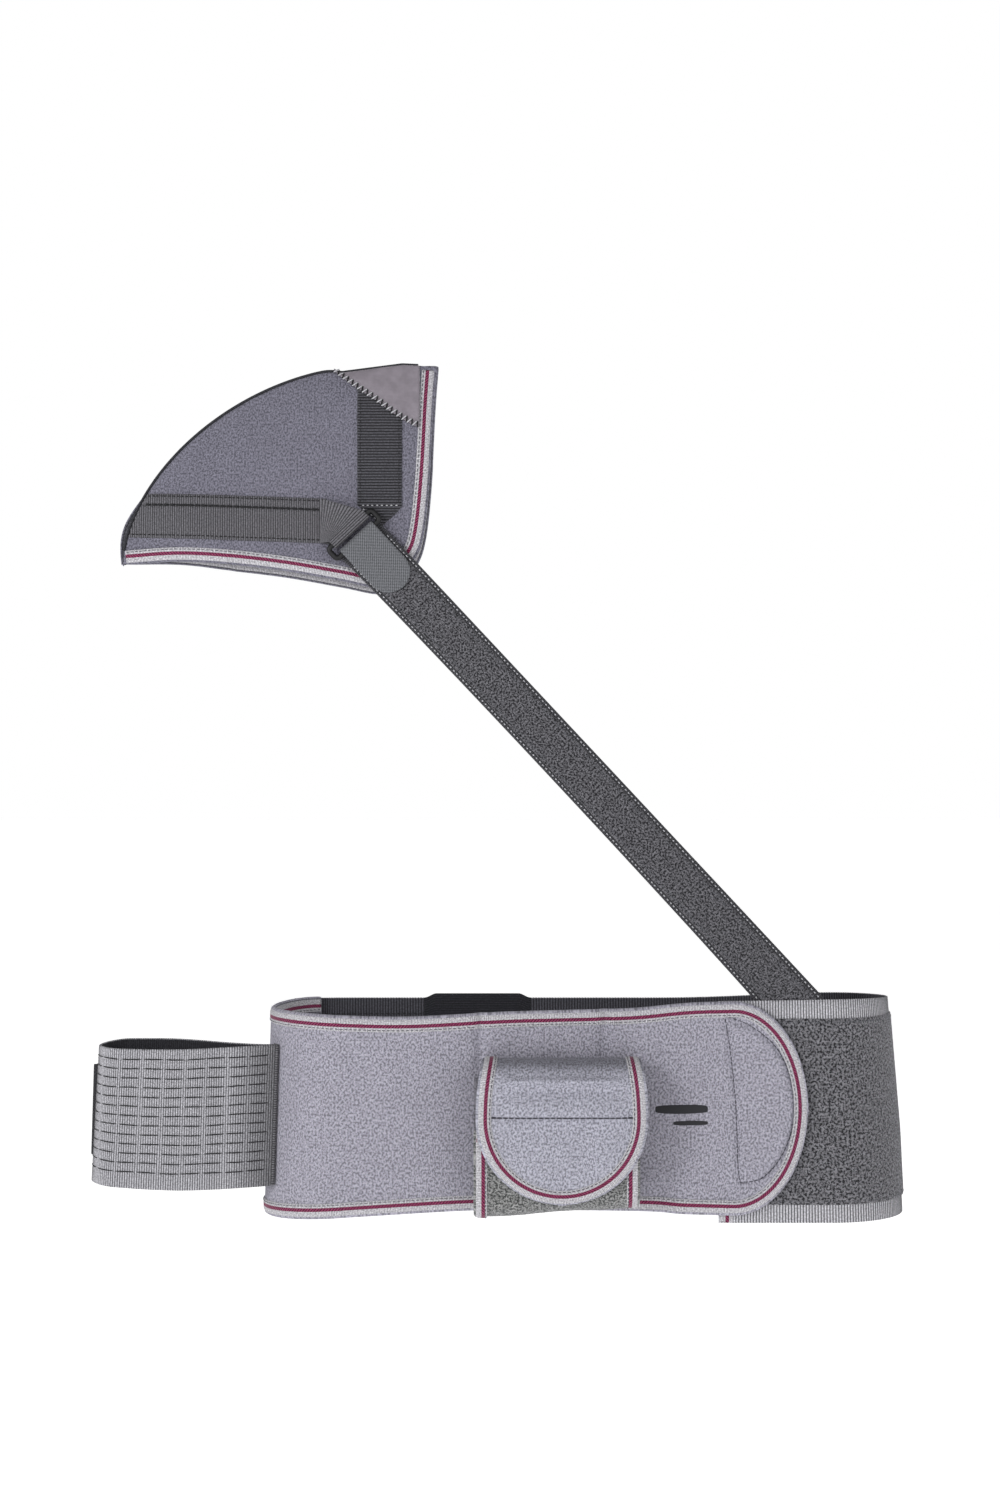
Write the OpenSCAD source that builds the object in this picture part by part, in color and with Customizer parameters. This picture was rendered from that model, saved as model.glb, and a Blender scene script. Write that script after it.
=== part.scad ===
// Shoulder-immobiliser arm sling: an elastic chest belt with a hook-and-loop closure, a wrist cuff
// on its front, an upper-arm cuff at its left end, and a diagonal strap up to a shoulder cap.
// Millimetres. X runs across the chest, Y from the front of the wearer to the back, +Z up.
// The origin is the middle of the chest ring.

/* [Chest belt] */
// Overall width of the chest ring
belt_w = 472; // [440:1:500]
// Depth of the chest ring over the front panel
belt_d = 120; // [110:1:140]
// Thickness of the brushed laminate
laminate_t = 3.5; // [3:0.1:4]
// Thickness of the woven elastic
elastic_t = 1.6; // [1.2:0.1:2]
// Height of the elastic band
elastic_h = 160; // [150:1:170]
// Top edge of the elastic band above the origin
elastic_top = 79; // [75:1:84]
// Thickness of the loop pile
loop_t = 1.2; // [1:0.1:1.4]
// Height of the loop pile panel
loop_h = 134; // [120:1:140]
// Thickness of hook tape
hook_t = 1; // [0.8:0.1:1]
// Thickness that a folded edge tape adds on each face
tape_t = 0.8; // [0.6:0.1:1]
// Width of the edge tape
tape_w = 10; // [8:1:12]

/* [Belt closure] */
// Where the closing flap starts to peel
closure_x = 103; // [100:1:106]
// Reach of the rounded end past the start of its curve
closure_reach = 53.5; // [48:0.5:56]
// Half the height of the rounded end
closure_half_h = 76; // [72:1:78]
// Height of the middle of the rounded end
closure_z = 2; // [0:0.5:4]

/* [Wrist cuff] */
// Middle of the wrist cuff across the belt
wrist_x = -21; // [-24:1:-18]
// Width of the wrist cuff
wrist_w = 116; // [110:1:120]
// Top of the wrist cuff
wrist_top = 41; // [38:1:44]
// Bottom of the wrist cuff
wrist_bottom = -73; // [-76:1:-70]
// How far the closed cuff stands out from the belt
wrist_depth = 37; // [34:1:40]
// Thickness of the cuff laminate
wrist_t = 3.2; // [3:0.1:3.5]
// Radius of the round flap
flap_r = 60; // [56:1:62]

/* [Upper-arm cuff] */
// Thickness of the ribbed arm elastic
arm_t = 2; // [1.6:0.1:2.2]
// Height of the arm cuff
arm_h = 102; // [95:1:106]
// Bottom of the arm cuff
arm_bottom = -57; // [-60:1:-54]
// Reach of the arm cuff from the middle of the belt
arm_reach = 355; // [345:1:360]
// Radius of the outer turn of the arm cuff
arm_turn_r = 21; // [18:1:23]

/* [Diagonal strap] */
// Width of the strap webbing
strap_w = 38; // [36:1:38]
// Thickness of the strap webbing
strap_t = 1.6; // [1.4:0.1:1.8]
// Width of the loop tape sewn on the strap
strap_loop_w = 30; // [26:1:32]
// Fall of the strap below the horizontal, in degrees
strap_fall = 47; // [46.5:0.1:47.5]
// Width of the hook tab
tab_w = 31; // [28:1:34]
// Length of the hook tab from the ring
tab_l = 48; // [44:1:50]

/* [Ring] */
// Radius of the ring's bar
bar_r = 2; // [1.8:0.1:2.2]
// Distance between the two long bars
bar_gap = 10; // [9.8:0.1:11]
// Room between a bar and the webbing round it
bar_play = 0.3; // [0.2:0.05:0.4]

/* [Shoulder cap] */
// Height of the cap's front corner at the outer arm
cap_z = 398; // [396:1:400]
// Width of the curved part of the cap
cap_a = 176; // [170:1:180]
// Height of the curved part of the cap
cap_b = 146; // [140:1:150]
// Room between the cap's two panels
cap_room = 20.3; // [18:0.1:24]
// Width of the cap webbing
cap_web_w = 32; // [30:1:33]
// Thickness of the cap webbing
cap_web_t = 1.4; // [1.2:0.1:1.5]

/* [Hidden] */
$fn = 64;
air = 0.3;                                   // gap between bodies
big = 1000;

// Chest belt, in plan
panel_r = belt_d / 2;
left_x = -belt_w / 2 + panel_r;
panel_end_angle = 115;
panel_in_y = -panel_r + laminate_t;
loop_out_y = panel_in_y + hook_t + air;
elastic_out_y = loop_out_y + loop_t;
elastic_in_y = elastic_out_y + elastic_t;
right_r = (panel_r + elastic_t - elastic_out_y) / 2;
right_y = (panel_r + elastic_t + elastic_out_y) / 2;
right_x = belt_w / 2 - loop_t - right_r;
elastic_start_x = closure_x - 6;
elastic_bottom = elastic_top - elastic_h;
overlap_angle = 138;
belt_edge_top = [[-250, 70], [-205, 69], [-130, 67], [-50, 71], [30, 73], [75, 77], [closure_x + 4, 78]];
belt_edge_bottom = [[closure_x + 4, -74], [70, -73], [40, -71], [-60, -70], [-130, -73], [-205, -78], [-250, -82]];

// Wrist cuff, in side view
wrist_back_y = -panel_r - tape_t;
flap_out_y = wrist_back_y - wrist_depth + tape_t;
wrap_out_y = flap_out_y + wrist_t + hook_t + air;
top_r = (wrist_back_y - flap_out_y) / 2;
top_y = (wrist_back_y + flap_out_y) / 2;
top_z = wrist_top - top_r;
foot_r = (wrist_back_y - wrap_out_y) / 2;
foot_y = (wrist_back_y + wrap_out_y) / 2;
foot_z = wrist_bottom + foot_r;
flap_x = wrist_x + 3.5;
flap_z = wrist_top - 41.8;
wrap_end_z = -10;
elastic_fall = 8.5;
flap_top_half = 51;
foot_tape_w = 8;

// Arm cuff, in plan
seam_angle = 214;
seam_tape_t = 1.2;
seam_fold_r = 1.2;
seam_r = panel_r + seam_tape_t + seam_fold_r + air;
seam_x = left_x + seam_r * cos(seam_angle);
seam_y = seam_r * sin(seam_angle);
turn_x = -arm_reach + arm_turn_r;
turn_y = seam_y + 2;
arm_back_y = turn_y + arm_turn_r;
arm_patch_t = 0.9;
arm_tab_t = 1.6;
arm_tab_z = -38;
arm_tab_h = 66;
arm_tab_x = -312;

// Ring and strap. The strap runs down from the ring's near bar, leaning forward as it falls.
ring_x = -165;
ring_y = -23;
ring_z = 415;
bore_r = bar_r + bar_play;
strap_back_y = bore_r;
strap_hinge_z = elastic_top - 0.5;
strap_hinge_y = elastic_in_y + air + 1.4;
strap_run = (ring_z - strap_hinge_z) / sin(strap_fall);
strap_lean = atan((ring_y + strap_back_y - strap_hinge_y) / strap_run);
strap_gap = 1.6;
strap_loop_t = 1.4;
tab_t = 1.6;
tab_start = 2.6;
far_x = ring_x - bar_gap * cos(strap_fall);
far_z = ring_z + bar_gap * sin(strap_fall);

// Shoulder cap
cap_x = -165;
cap_face_y = -15.8;
cap_front_in_y = cap_face_y + laminate_t;
cap_back_in_y = cap_front_in_y + cap_room;
cap_back_y = cap_back_in_y + laminate_t;
cap_power = 1.75;
web_low_z = 413;
web_stitch_x = -190;
web_up_x = -166;

// ---- shared shapes ----

// A pie slice from angle a0 to a1
module sector(r, a0, a1) {
  steps = 8;
  polygon(concat([[0, 0]], [for (i = [0:steps]) let (a = a0 + (a1 - a0) * i / steps) [r * cos(a), r * sin(a)]]));
}

// A curved band of outer radius r and thickness t
module arc_band(r, t, a0, a1) {
  intersection() {
    difference() {
      circle(r);
      circle(r - t);
    }
    sector(2 * r, a0, a1);
  }
}

// A flat shape drawn in the front view (x, z), made solid between two depths
module front_plate(y_front, y_back) {
  translate([0, y_back, 0]) rotate([90, 0, 0]) linear_extrude(y_back - y_front) children();
}

// A shape drawn in plan, made solid between two heights
module standing(z0, z1) {
  translate([0, 0, z0]) linear_extrude(z1 - z0) children();
}

// A shape drawn in the side view (y, z), made solid between two places across the belt
module across(x0, x1) {
  translate([x0, 0, 0]) rotate([90, 0, 90]) linear_extrude(x1 - x0) children();
}

// The same path moved sideways by d, to the left of its direction
function left_normal(a, b) = let (d = b - a) [-d[1], d[0]] / norm(d);
function path_normal(p, i) =
  i == 0 ? left_normal(p[0], p[1]) :
  i == len(p) - 1 ? left_normal(p[i - 1], p[i]) :
  let (m = left_normal(p[i - 1], p[i]) + left_normal(p[i], p[i + 1])) m * 2 / (m * m);
function moved_path(p, d) = [for (i = [0:len(p) - 1]) p[i] + d * path_normal(p, i)];
function reversed(p) = [for (i = [len(p) - 1:-1:0]) p[i]];

// A band of thickness t on the left side of a path
module path_band(p, t) {
  polygon(concat(p, reversed(moved_path(p, t))));
}

// ---- chest belt ----

module belt_outline(inset = 0) {
  polygon(concat([for (p = belt_edge_top) [p[0], p[1] - inset]], [for (p = belt_edge_bottom) [p[0], p[1] + inset]]));
}

// Plan of the front laminate, grown by g on both faces
module panel_plan(g = 0) {
  translate([left_x, 0]) arc_band(panel_r + g, laminate_t + 2 * g, panel_end_angle, 270);
  translate([left_x, -panel_r - g]) square([closure_x - air - left_x, laminate_t + 2 * g]);
}

module front_panel() {
  color("#a9a6b4")
  intersection() {
    standing(-90, 90) panel_plan();
    front_plate(-big, big) belt_outline();
  }
}

module panel_binding() {
  color("#b9b8be")
  intersection() {
    standing(-90, 90) difference() {
      panel_plan(tape_t);
      panel_plan();
      elastic_plan();
    }
    front_plate(-big, big) difference() {
      belt_outline();
      belt_outline(tape_w);
    }
    children();
  }
}

module panel_top_binding() {
  panel_binding() translate([-big / 2, -big / 2, 0]) cube(big);
}

module panel_bottom_binding() {
  panel_binding() translate([-big / 2, -big / 2, -big]) cube(big);
}

module elastic_plan() {
  translate([elastic_start_x, elastic_out_y]) square([right_x - elastic_start_x, elastic_t]);
  translate([right_x, right_y]) arc_band(right_r, elastic_t, -90, 90);
  translate([left_x, panel_r]) square([right_x - left_x, elastic_t]);
  translate([left_x, 0]) arc_band(panel_r + elastic_t, elastic_t, 90, overlap_angle);
}

// Its top edge falls a little towards the back
module back_elastic() {
  color("#5d5f66") intersection() {
    standing(elastic_bottom, elastic_top) elastic_plan();
    rotate([90, 0, 90]) linear_extrude(big, center = true)
      polygon([[-panel_r - 1, elastic_bottom - 1], [-panel_r - 1, elastic_top],
               [panel_r + 3, elastic_top - elastic_fall], [panel_r + 3, elastic_bottom - 1]]);
  }
}

module elastic_end_binding() {
  color("#b9b8be") standing(elastic_bottom, elastic_top) difference() {
    translate([elastic_start_x - 0.5, elastic_out_y - 0.5]) square([tape_w, elastic_t + 1]);
    elastic_plan();
  }
}

module closure_loop_panel() {
  middle = (elastic_top + elastic_bottom) / 2;
  color("#6f7275") standing(middle - loop_h / 2, middle + loop_h / 2) {
    translate([elastic_start_x + tape_w, loop_out_y]) square([right_x - elastic_start_x - tape_w, loop_t]);
    translate([right_x, right_y]) arc_band(right_r + loop_t, loop_t, -90, 60);
  }
}

module back_grip_patch() {
  color("#303238") translate([-119, panel_r - 1.2, -60]) cube([81, 1.2, 133.5]);
}

function strap_mid_x(z) = ring_x + (ring_z - z) / tan(strap_fall);

// The sewn end of the strap, lying on the inside of the elastic as it starts to turn
module strap_anchor() {
  half = strap_w / 2 / sin(strap_fall);
  top = strap_hinge_z - strap_gap / 2;
  foot = 36;
  anchor_t = strap_hinge_y + strap_t - elastic_in_y;
  color("#3b3d42") intersection() {
    standing(0, big) {
      translate([0, elastic_in_y]) square([right_x, anchor_t]);
      translate([right_x, right_y]) arc_band(right_r - elastic_t, anchor_t, -90, 0);
    }
    front_plate(-big, 0)
      polygon([[strap_mid_x(top) - half, top], [strap_mid_x(foot) - half, foot],
               [strap_mid_x(foot) + half, foot], [strap_mid_x(top) + half, top]]);
  }
}

module arm_seam_tape() {
  color("#55575c") standing(arm_bottom, arm_bottom + arm_h) translate([left_x, 0])
    arc_band(panel_r + seam_tape_t, seam_tape_t, seam_angle - 10, seam_angle + 1);
}

// ---- belt closure ----

// The round closing end, made smaller all round by inset
module closure_outline(inset = 0) {
  mid_x = closure_x + 4;
  a = closure_reach - inset;
  b = closure_half_h - inset;
  steps = 32;
  polygon(concat(
    [[closure_x, closure_z - b], [closure_x, closure_z + b]],
    [for (i = [0:steps]) let (t = 90 - 180 * i / steps) [mid_x + a * cos(t), closure_z + b * sin(t)]]
  ));
}

module closure_flap() {
  color("#a9a6b4") front_plate(-panel_r, panel_in_y) closure_outline();
}

module closure_flap_binding() {
  color("#b9b8be") difference() {
    front_plate(-panel_r - tape_t, panel_in_y + tape_t) difference() {
      closure_outline();
      closure_outline(tape_w);
    }
    front_plate(-panel_r, panel_in_y) closure_outline();
  }
}

module closure_hook_patch() {
  color("#7a7d80") front_plate(panel_in_y, panel_in_y + hook_t) closure_outline(tape_w + 1);
}

// ---- wrist cuff ----

// The bent band of the cuff's foot, grown by g towards both faces
module foot_profile(g = 0) {
  translate([foot_y, foot_z]) arc_band(foot_r + g, wrist_t + 2 * g, 180, 360);
}

module wrist_base() {
  color("#a9a6b4") across(wrist_x - wrist_w / 2, wrist_x + wrist_w / 2) {
    translate([wrist_back_y - wrist_t, foot_z]) square([wrist_t, top_z - foot_z]);
    foot_profile();
  }
}

module flap_outline(inset = 0) {
  half = flap_top_half - inset;
  hull() {
    translate([flap_x, flap_z]) circle(flap_r - inset);
    translate([flap_x - half, top_z]) square([2 * half, top_r]);
  }
}

module wrist_top_fold() {
  color("#a9a6b4") intersection() {
    across(-big / 2, big / 2) translate([top_y, top_z]) arc_band(top_r, wrist_t, 0, 180);
    front_plate(-200, 0) flap_outline();
  }
}

// Edge tape round one side of the cuff's foot, lying outside its laminate
module foot_binding(x0) {
  color("#b9b8be") across(x0, x0 + foot_tape_w) intersection() {
    difference() {
      foot_profile(tape_t);
      foot_profile();
    }
    translate([-200, -200]) square([200 + wrist_back_y - wrist_t - 3, 200 + foot_z]);
  }
}

module wrist_base_binding_left() {
  foot_binding(wrist_x - wrist_w / 2);
}

module wrist_base_binding_right() {
  foot_binding(wrist_x + wrist_w / 2 - foot_tape_w);
}

module wrist_flap() {
  color("#a9a6b4") front_plate(flap_out_y, flap_out_y + wrist_t) intersection() {
    flap_outline();
    translate([-big / 2, -big + top_z - air]) square(big);
  }
}

module wrist_flap_binding() {
  color("#b9b8be") difference() {
    front_plate(flap_out_y - tape_t, flap_out_y + wrist_t + tape_t) intersection() {
      difference() {
        flap_outline();
        flap_outline(tape_w);
      }
      translate([-big / 2, -big + top_z - 8]) square(big);
    }
    wrist_flap();
  }
}

module wrist_hook_patch() {
  color("#7a7d80") front_plate(flap_out_y + wrist_t, flap_out_y + wrist_t + hook_t) intersection() {
    flap_outline(tape_w + 1);
    translate([-big / 2, -big + flap_z]) square(big);
  }
}

module wrap_outline(x0, x1, z1 = wrap_end_z) {
  translate([x0, foot_z + air]) square([x1 - x0, z1 - foot_z - air]);
}

module wrist_wrap() {
  color("#74777a") front_plate(wrap_out_y, wrap_out_y + wrist_t)
    wrap_outline(wrist_x - wrist_w / 2, wrist_x + wrist_w / 2);
}

// Edge tape on the inside of one side of the wrap, and round its edge
module wrap_binding(x0) {
  color("#b9b8be") front_plate(wrap_out_y + wrist_t, wrap_out_y + wrist_t + tape_t)
    wrap_outline(x0, x0 + foot_tape_w, wrap_end_z - foot_tape_w);
}

module wrist_wrap_binding_left() {
  wrap_binding(wrist_x - wrist_w / 2);
}

module wrist_wrap_binding_right() {
  wrap_binding(wrist_x + wrist_w / 2 - foot_tape_w);
}

module wrist_wrap_end_binding() {
  color("#b9b8be") front_plate(wrap_out_y + wrist_t, wrap_out_y + wrist_t + tape_t)
    translate([wrist_x - wrist_w / 2, wrap_end_z - foot_tape_w]) square([wrist_w, foot_tape_w]);
}

// ---- upper-arm cuff ----

// Outer face of the loop in plan, from the belt seam along the front, round the turn and back
function arm_path() = concat(
  [[seam_x - 1.5, seam_y - 1.5], [seam_x - 30, seam_y - 9], [seam_x - 62, turn_y - arm_turn_r + 1]],
  [for (i = [0:16]) let (a = 270 - 180 * i / 16) [turn_x + arm_turn_r * cos(a), turn_y + arm_turn_r * sin(a)]],
  [[seam_x - 66, arm_back_y - 1], [seam_x - 30, seam_y + 10], [seam_x - 1.5, seam_y + 1.5]]
);

module arm_cuff_elastic() {
  outer = arm_path();
  inner = moved_path(outer, -arm_t);
  layers_meet = [seam_x - 9, seam_y];
  color("#8c8d8f") standing(arm_bottom, arm_bottom + arm_h) difference() {
    polygon(outer);
    polygon(concat([for (i = [1:len(inner) - 2]) inner[i]], [layers_meet]));
    translate([seam_x, seam_y]) circle(seam_fold_r);
  }
}

module arm_seam_fold() {
  color("#8c8d8f") translate([seam_x, seam_y, arm_bottom]) cylinder(r = seam_fold_r, h = arm_h);
}

module arm_loop_patch() {
  color("#303238") translate([turn_x, arm_back_y, arm_tab_z])
    cube([arm_tab_x - turn_x - 1, arm_patch_t, arm_tab_h]);
}

module arm_hook_tab() {
  reach = 51;
  y0 = arm_back_y + arm_patch_t + air;
  color("#303238") translate([arm_tab_x - reach, y0, arm_tab_z]) cube([reach, arm_tab_t, arm_tab_h]);
}

// ---- ring and diagonal strap ----

// x along the strap, y towards the wearer, z along the ring's bars
module at_ring(x = ring_x, z = ring_z, lean = 0) {
  translate([x, ring_y, z]) rotate([0, strap_fall, 0]) rotate([0, 0, -lean]) children();
}

module bar(length) {
  cylinder(r = bar_r, h = length, center = true);
}

module strap_ring() {
  half = strap_w / 2 + bar_r + 0.6;
  color("#17181b") at_ring() {
    bar(2 * half);
    translate([-bar_gap, 0, 0]) bar(2 * half);
    for (side = [-1, 1]) translate([0, 0, side * half]) {
      sphere(bar_r);
      translate([-bar_gap, 0, 0]) sphere(bar_r);
      translate([-bar_gap / 2, 0, 0]) rotate([0, 90, 0]) bar(bar_gap);
    }
  }
}

// Half a tube of webbing round a bar, open towards +x
module web_fold(t, w) {
  translate([0, 0, -w / 2]) linear_extrude(w) arc_band(bore_r + t, t, 90, 270);
}

module above_hinge() {
  intersection() {
    children();
    translate([-big / 2, -big / 2, strap_hinge_z + strap_gap / 2]) cube(big);
  }
}

module strap_webbing() {
  color("#3b3d42") above_hinge() at_ring(lean = strap_lean) {
    web_fold(strap_t, strap_w);
    translate([0, bore_r, -strap_w / 2]) cube([strap_run + 40, strap_t, strap_w]);
    translate([0, -bore_r - strap_t, -strap_w / 2]) cube([tab_start - air, strap_t, strap_w]);
  }
}

module strap_loop_tape() {
  color("#67696d") above_hinge() at_ring(lean = strap_lean)
    translate([9, bore_r - strap_loop_t, -strap_loop_w / 2])
      cube([strap_run + 40, strap_loop_t, strap_loop_w]);
}

module strap_hook_tab() {
  inner = bore_r - strap_loop_t - air;
  settle = 15;
  color("#6f7676") at_ring(lean = strap_lean) intersection() {
    translate([0, 0, -tab_w / 2]) linear_extrude(tab_w) polygon([
      [tab_start, -bore_r - tab_t], [settle, inner - tab_t], [tab_l + 1, inner - tab_t],
      [tab_l + 1, inner], [settle, inner], [tab_start, -bore_r]
    ]);
    translate([0, 50, 0]) rotate([90, 0, 0]) linear_extrude(100) {
      translate([0, -tab_w / 2]) square([tab_l - tab_w / 2, tab_w]);
      translate([tab_l - tab_w / 2, 0]) circle(tab_w / 2);
    }
  }
}

// ---- shoulder cap ----

// A point on the cap's curved edge; t runs from 0 at the outer arm to 90 at the top
function cap_curve(t, grow) = [
  cap_x - (cap_a + grow) * pow(cos(t), 2 / cap_power),
  cap_z + (cap_b + grow) * pow(sin(t), 2 / cap_power)
];
cap_curve_end = 84;
function cap_curved_edge(grow = 0) = [for (i = [0:24]) cap_curve(cap_curve_end * i / 24, grow)];

// The open edges, from the top corner down the inner side and back along the bottom
function cap_straight_edge(dx, dz) = [
  [-109 + dx, 544], [-112 + dx, 515], [-117 + dx, 458], [-122 + dx, 415],
  [-128 + dx, 398 + dz / 2], [-140 + dx, 383 + dz], [-156 + dx, 376 + dz],
  [-180, 381 + dz], [-220, 388 + dz], [-262, 393 + dz], [-300, 395 + dz / 2], [-341, 394]
];

module cap_outline(dx = 0, dz = 0) {
  polygon(concat(cap_curved_edge(), [[-134, 546]], cap_straight_edge(dx, dz)));
}

module cap_front_panel() {
  color("#a9a6b4") front_plate(cap_face_y, cap_front_in_y) cap_outline();
}

module cap_back_panel() {
  color("#a9a6b4") front_plate(cap_back_in_y, cap_back_y) cap_outline(4, -6);
}

module cap_binding(y0, y1, dx, dz) {
  color("#b9b8be") difference() {
    front_plate(y0 - tape_t, y1 + tape_t) intersection() {
      path_band(reversed(cap_straight_edge(dx, dz)), tape_w);
      cap_outline(dx, dz);
    }
    front_plate(y0, y1) cap_outline(dx, dz);
  }
}

module cap_front_binding() {
  cap_binding(cap_face_y, cap_front_in_y, 0, 0);
}

module cap_back_binding() {
  cap_binding(cap_back_in_y, cap_back_y, 4, -6);
}

module cap_curved_seam() {
  wall = 2.5;
  color("#3f4147") front_plate(cap_front_in_y, cap_back_in_y) difference() {
    path_band(reversed(cap_curved_edge()), wall);
    translate([-360, 300]) square([60, cap_z + tape_w - 300]);
  }
}

module upright_outline() {
  polygon([[web_up_x, 441], [web_up_x, 542], [web_up_x + cap_web_w, 542], [web_up_x + cap_web_w, 440],
           [-137, 436], [-148, 426]]);
}

module cap_upright_webbing() {
  color("#43454a") front_plate(cap_face_y - cap_web_t, cap_face_y) upright_outline();
}

module cap_side_webbing() {
  color("#43454a") intersection() {
    front_plate(cap_face_y - cap_web_t, cap_face_y)
      translate([-345, web_low_z]) square([345 + web_stitch_x, cap_web_w]);
    front_plate(-big, big) cap_outline();
  }
}

// The free end of the side webbing: out to the ring's far bar, round it and back under itself
module cap_ring_webbing() {
  web_w = cap_web_w + 1;
  straight = 4;
  face = cap_face_y - cap_web_t;
  module stitch_slab(layer) {
    translate([web_stitch_x - 4, face - (layer + 1) * cap_web_t, web_low_z])
      cube([4, cap_web_t, cap_web_w]);
  }
  module bar_slab(y) {
    at_ring(far_x, far_z) translate([-straight, y, -web_w / 2]) cube([straight, cap_web_t, web_w]);
  }
  color("#43454a") {
    difference() {
      union() {
        hull() {
          stitch_slab(1);
          bar_slab(-bore_r - cap_web_t);
        }
        hull() {
          stitch_slab(0);
          bar_slab(bore_r);
        }
      }
      at_ring(far_x, far_z) cylinder(r = bore_r, h = 2 * strap_w, center = true);
    }
    at_ring(far_x, far_z) rotate([0, 0, 180]) web_fold(cap_web_t, web_w);
  }
}

module cap_corner_patch() {
  patch_t = 0.8;
  color("#8d8790") difference() {
    front_plate(cap_face_y - cap_web_t - patch_t, cap_face_y)
      polygon([[-183, 541], [-133, 545.5], [-121.5, 544.5], [-121.5, 498], [-140, 509], [-165, 527]]);
    cap_upright_webbing();
    cap_front_binding();
  }
}

front_panel();
panel_top_binding();
panel_bottom_binding();
back_elastic();
elastic_end_binding();
closure_loop_panel();
back_grip_patch();
strap_anchor();
arm_seam_tape();
wrist_base();
wrist_top_fold();
wrist_base_binding_left();
wrist_base_binding_right();
closure_flap();
closure_flap_binding();
closure_hook_patch();
wrist_flap();
wrist_flap_binding();
wrist_hook_patch();
wrist_wrap();
wrist_wrap_binding_left();
wrist_wrap_binding_right();
wrist_wrap_end_binding();
arm_cuff_elastic();
arm_seam_fold();
arm_loop_patch();
arm_hook_tab();
strap_webbing();
strap_loop_tape();
strap_hook_tab();
strap_ring();
cap_front_panel();
cap_back_panel();
cap_curved_seam();
cap_front_binding();
cap_back_binding();
cap_corner_patch();
cap_side_webbing();
cap_upright_webbing();
cap_ring_webbing();
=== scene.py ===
"""Looks of a shoulder-immobiliser arm sling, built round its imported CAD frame.
Shapes are worked out in millimetres, and become metres when a mesh is made."""

import math

import bpy
import numpy as np
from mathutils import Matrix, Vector


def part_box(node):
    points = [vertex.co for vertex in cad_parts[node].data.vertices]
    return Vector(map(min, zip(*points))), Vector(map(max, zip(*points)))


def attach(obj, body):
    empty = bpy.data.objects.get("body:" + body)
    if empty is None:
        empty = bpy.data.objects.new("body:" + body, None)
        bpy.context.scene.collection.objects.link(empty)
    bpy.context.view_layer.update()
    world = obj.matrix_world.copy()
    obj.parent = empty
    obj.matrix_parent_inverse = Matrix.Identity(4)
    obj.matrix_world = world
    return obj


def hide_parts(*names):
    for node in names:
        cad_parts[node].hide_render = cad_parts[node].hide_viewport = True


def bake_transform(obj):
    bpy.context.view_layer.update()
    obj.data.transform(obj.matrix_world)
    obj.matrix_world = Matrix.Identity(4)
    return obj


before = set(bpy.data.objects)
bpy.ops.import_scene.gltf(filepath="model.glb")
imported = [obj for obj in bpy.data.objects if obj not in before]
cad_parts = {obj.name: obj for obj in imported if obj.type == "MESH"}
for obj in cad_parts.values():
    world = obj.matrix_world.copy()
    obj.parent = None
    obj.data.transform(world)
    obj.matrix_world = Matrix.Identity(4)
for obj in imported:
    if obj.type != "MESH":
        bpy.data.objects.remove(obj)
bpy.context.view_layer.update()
MM = 0.001
random = np.random.default_rng(7)


# ---- numbers taken from the frame ----

def box_mm(node):
    low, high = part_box(node)
    return np.array(low) / MM, np.array(high) / MM


panel_low = box_mm("front_panel")[0]
closure_low, closure_high = box_mm("closure_flap")
elastic_low, elastic_high = box_mm("back_elastic")
loop_low, loop_high = box_mm("closure_loop_panel")
flap_low, flap_high = box_mm("wrist_flap")
base_low, base_high = box_mm("wrist_base")
wrap_low, wrap_high = box_mm("wrist_wrap")
fold_high = box_mm("wrist_top_fold")[1]
cuff_low, cuff_high = box_mm("arm_cuff_elastic")
cap_low = box_mm("cap_front_panel")[0]
back_top = box_mm("cap_back_panel")[1]

LAMINATE = 3.5
TAPE_W, TAPE_T = 10, 0.8
BELT_R = -panel_low[1]
LEFT_X = panel_low[0] + BELT_R
PANEL_END = math.radians(155)      # how far the laminate turns round the left end
CLOSURE_X = closure_low[0]
ROUND_X = CLOSURE_X + 4            # where the closing end starts to curve
ROUND_C = ROUND_X - LEFT_X         # the same place, as a distance from the left turn
ROUND_REACH = closure_high[0] - ROUND_X
ROUND_Z = (closure_low[2] + closure_high[2]) / 2
ROUND_H = (closure_high[2] - closure_low[2]) / 2
EDGE_TOP = [(-250, 70), (-205, 69), (-130, 67), (-50, 71), (30, 73), (75, 77),
            (ROUND_X, ROUND_Z + ROUND_H)]
EDGE_BOTTOM = [(-250, -82), (-205, -78), (-130, -73), (-60, -70), (40, -71), (70, -73),
               (ROUND_X, ROUND_Z - ROUND_H)]
FORWARD = (0.0, -1.0, 0.0)         # out of the object's front

# From rib to rib
ELASTIC_PITCH, UPRIGHT_PITCH = 2.1, 2.1
WEBBING_PITCH = 1.7
STRAP_PITCH = 1.6


# ---- small maths ----

def unit(v):
    return v / np.maximum(np.linalg.norm(v, axis=-1, keepdims=True), 1e-9)


def ease(x, a, b):
    t = np.clip((np.asarray(x, float) - a) / (b - a), 0, 1)
    return t * t * (3 - 2 * t)


def grid(*parts):
    """Points from their coordinates, which are arrays or numbers that broadcast together."""
    return np.stack(np.broadcast_arrays(*parts), -1)


def arc(first, last, n):
    """n angles in radians, between two given in degrees."""
    return np.radians(np.linspace(first, last, n))


def lengths(path):
    return np.r_[0, np.cumsum(np.linalg.norm(np.diff(path, axis=0), axis=1))]


def columns_at(s, d, values):
    """Each column of values, which stand at the distances d, read off at the distances s."""
    return np.stack([np.interp(s, d, column) for column in values.T], -1)


def resample(path, n):
    path = np.asarray(path, float)
    d = lengths(path)
    return columns_at(np.linspace(0, d[-1], n), d, path)


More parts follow.
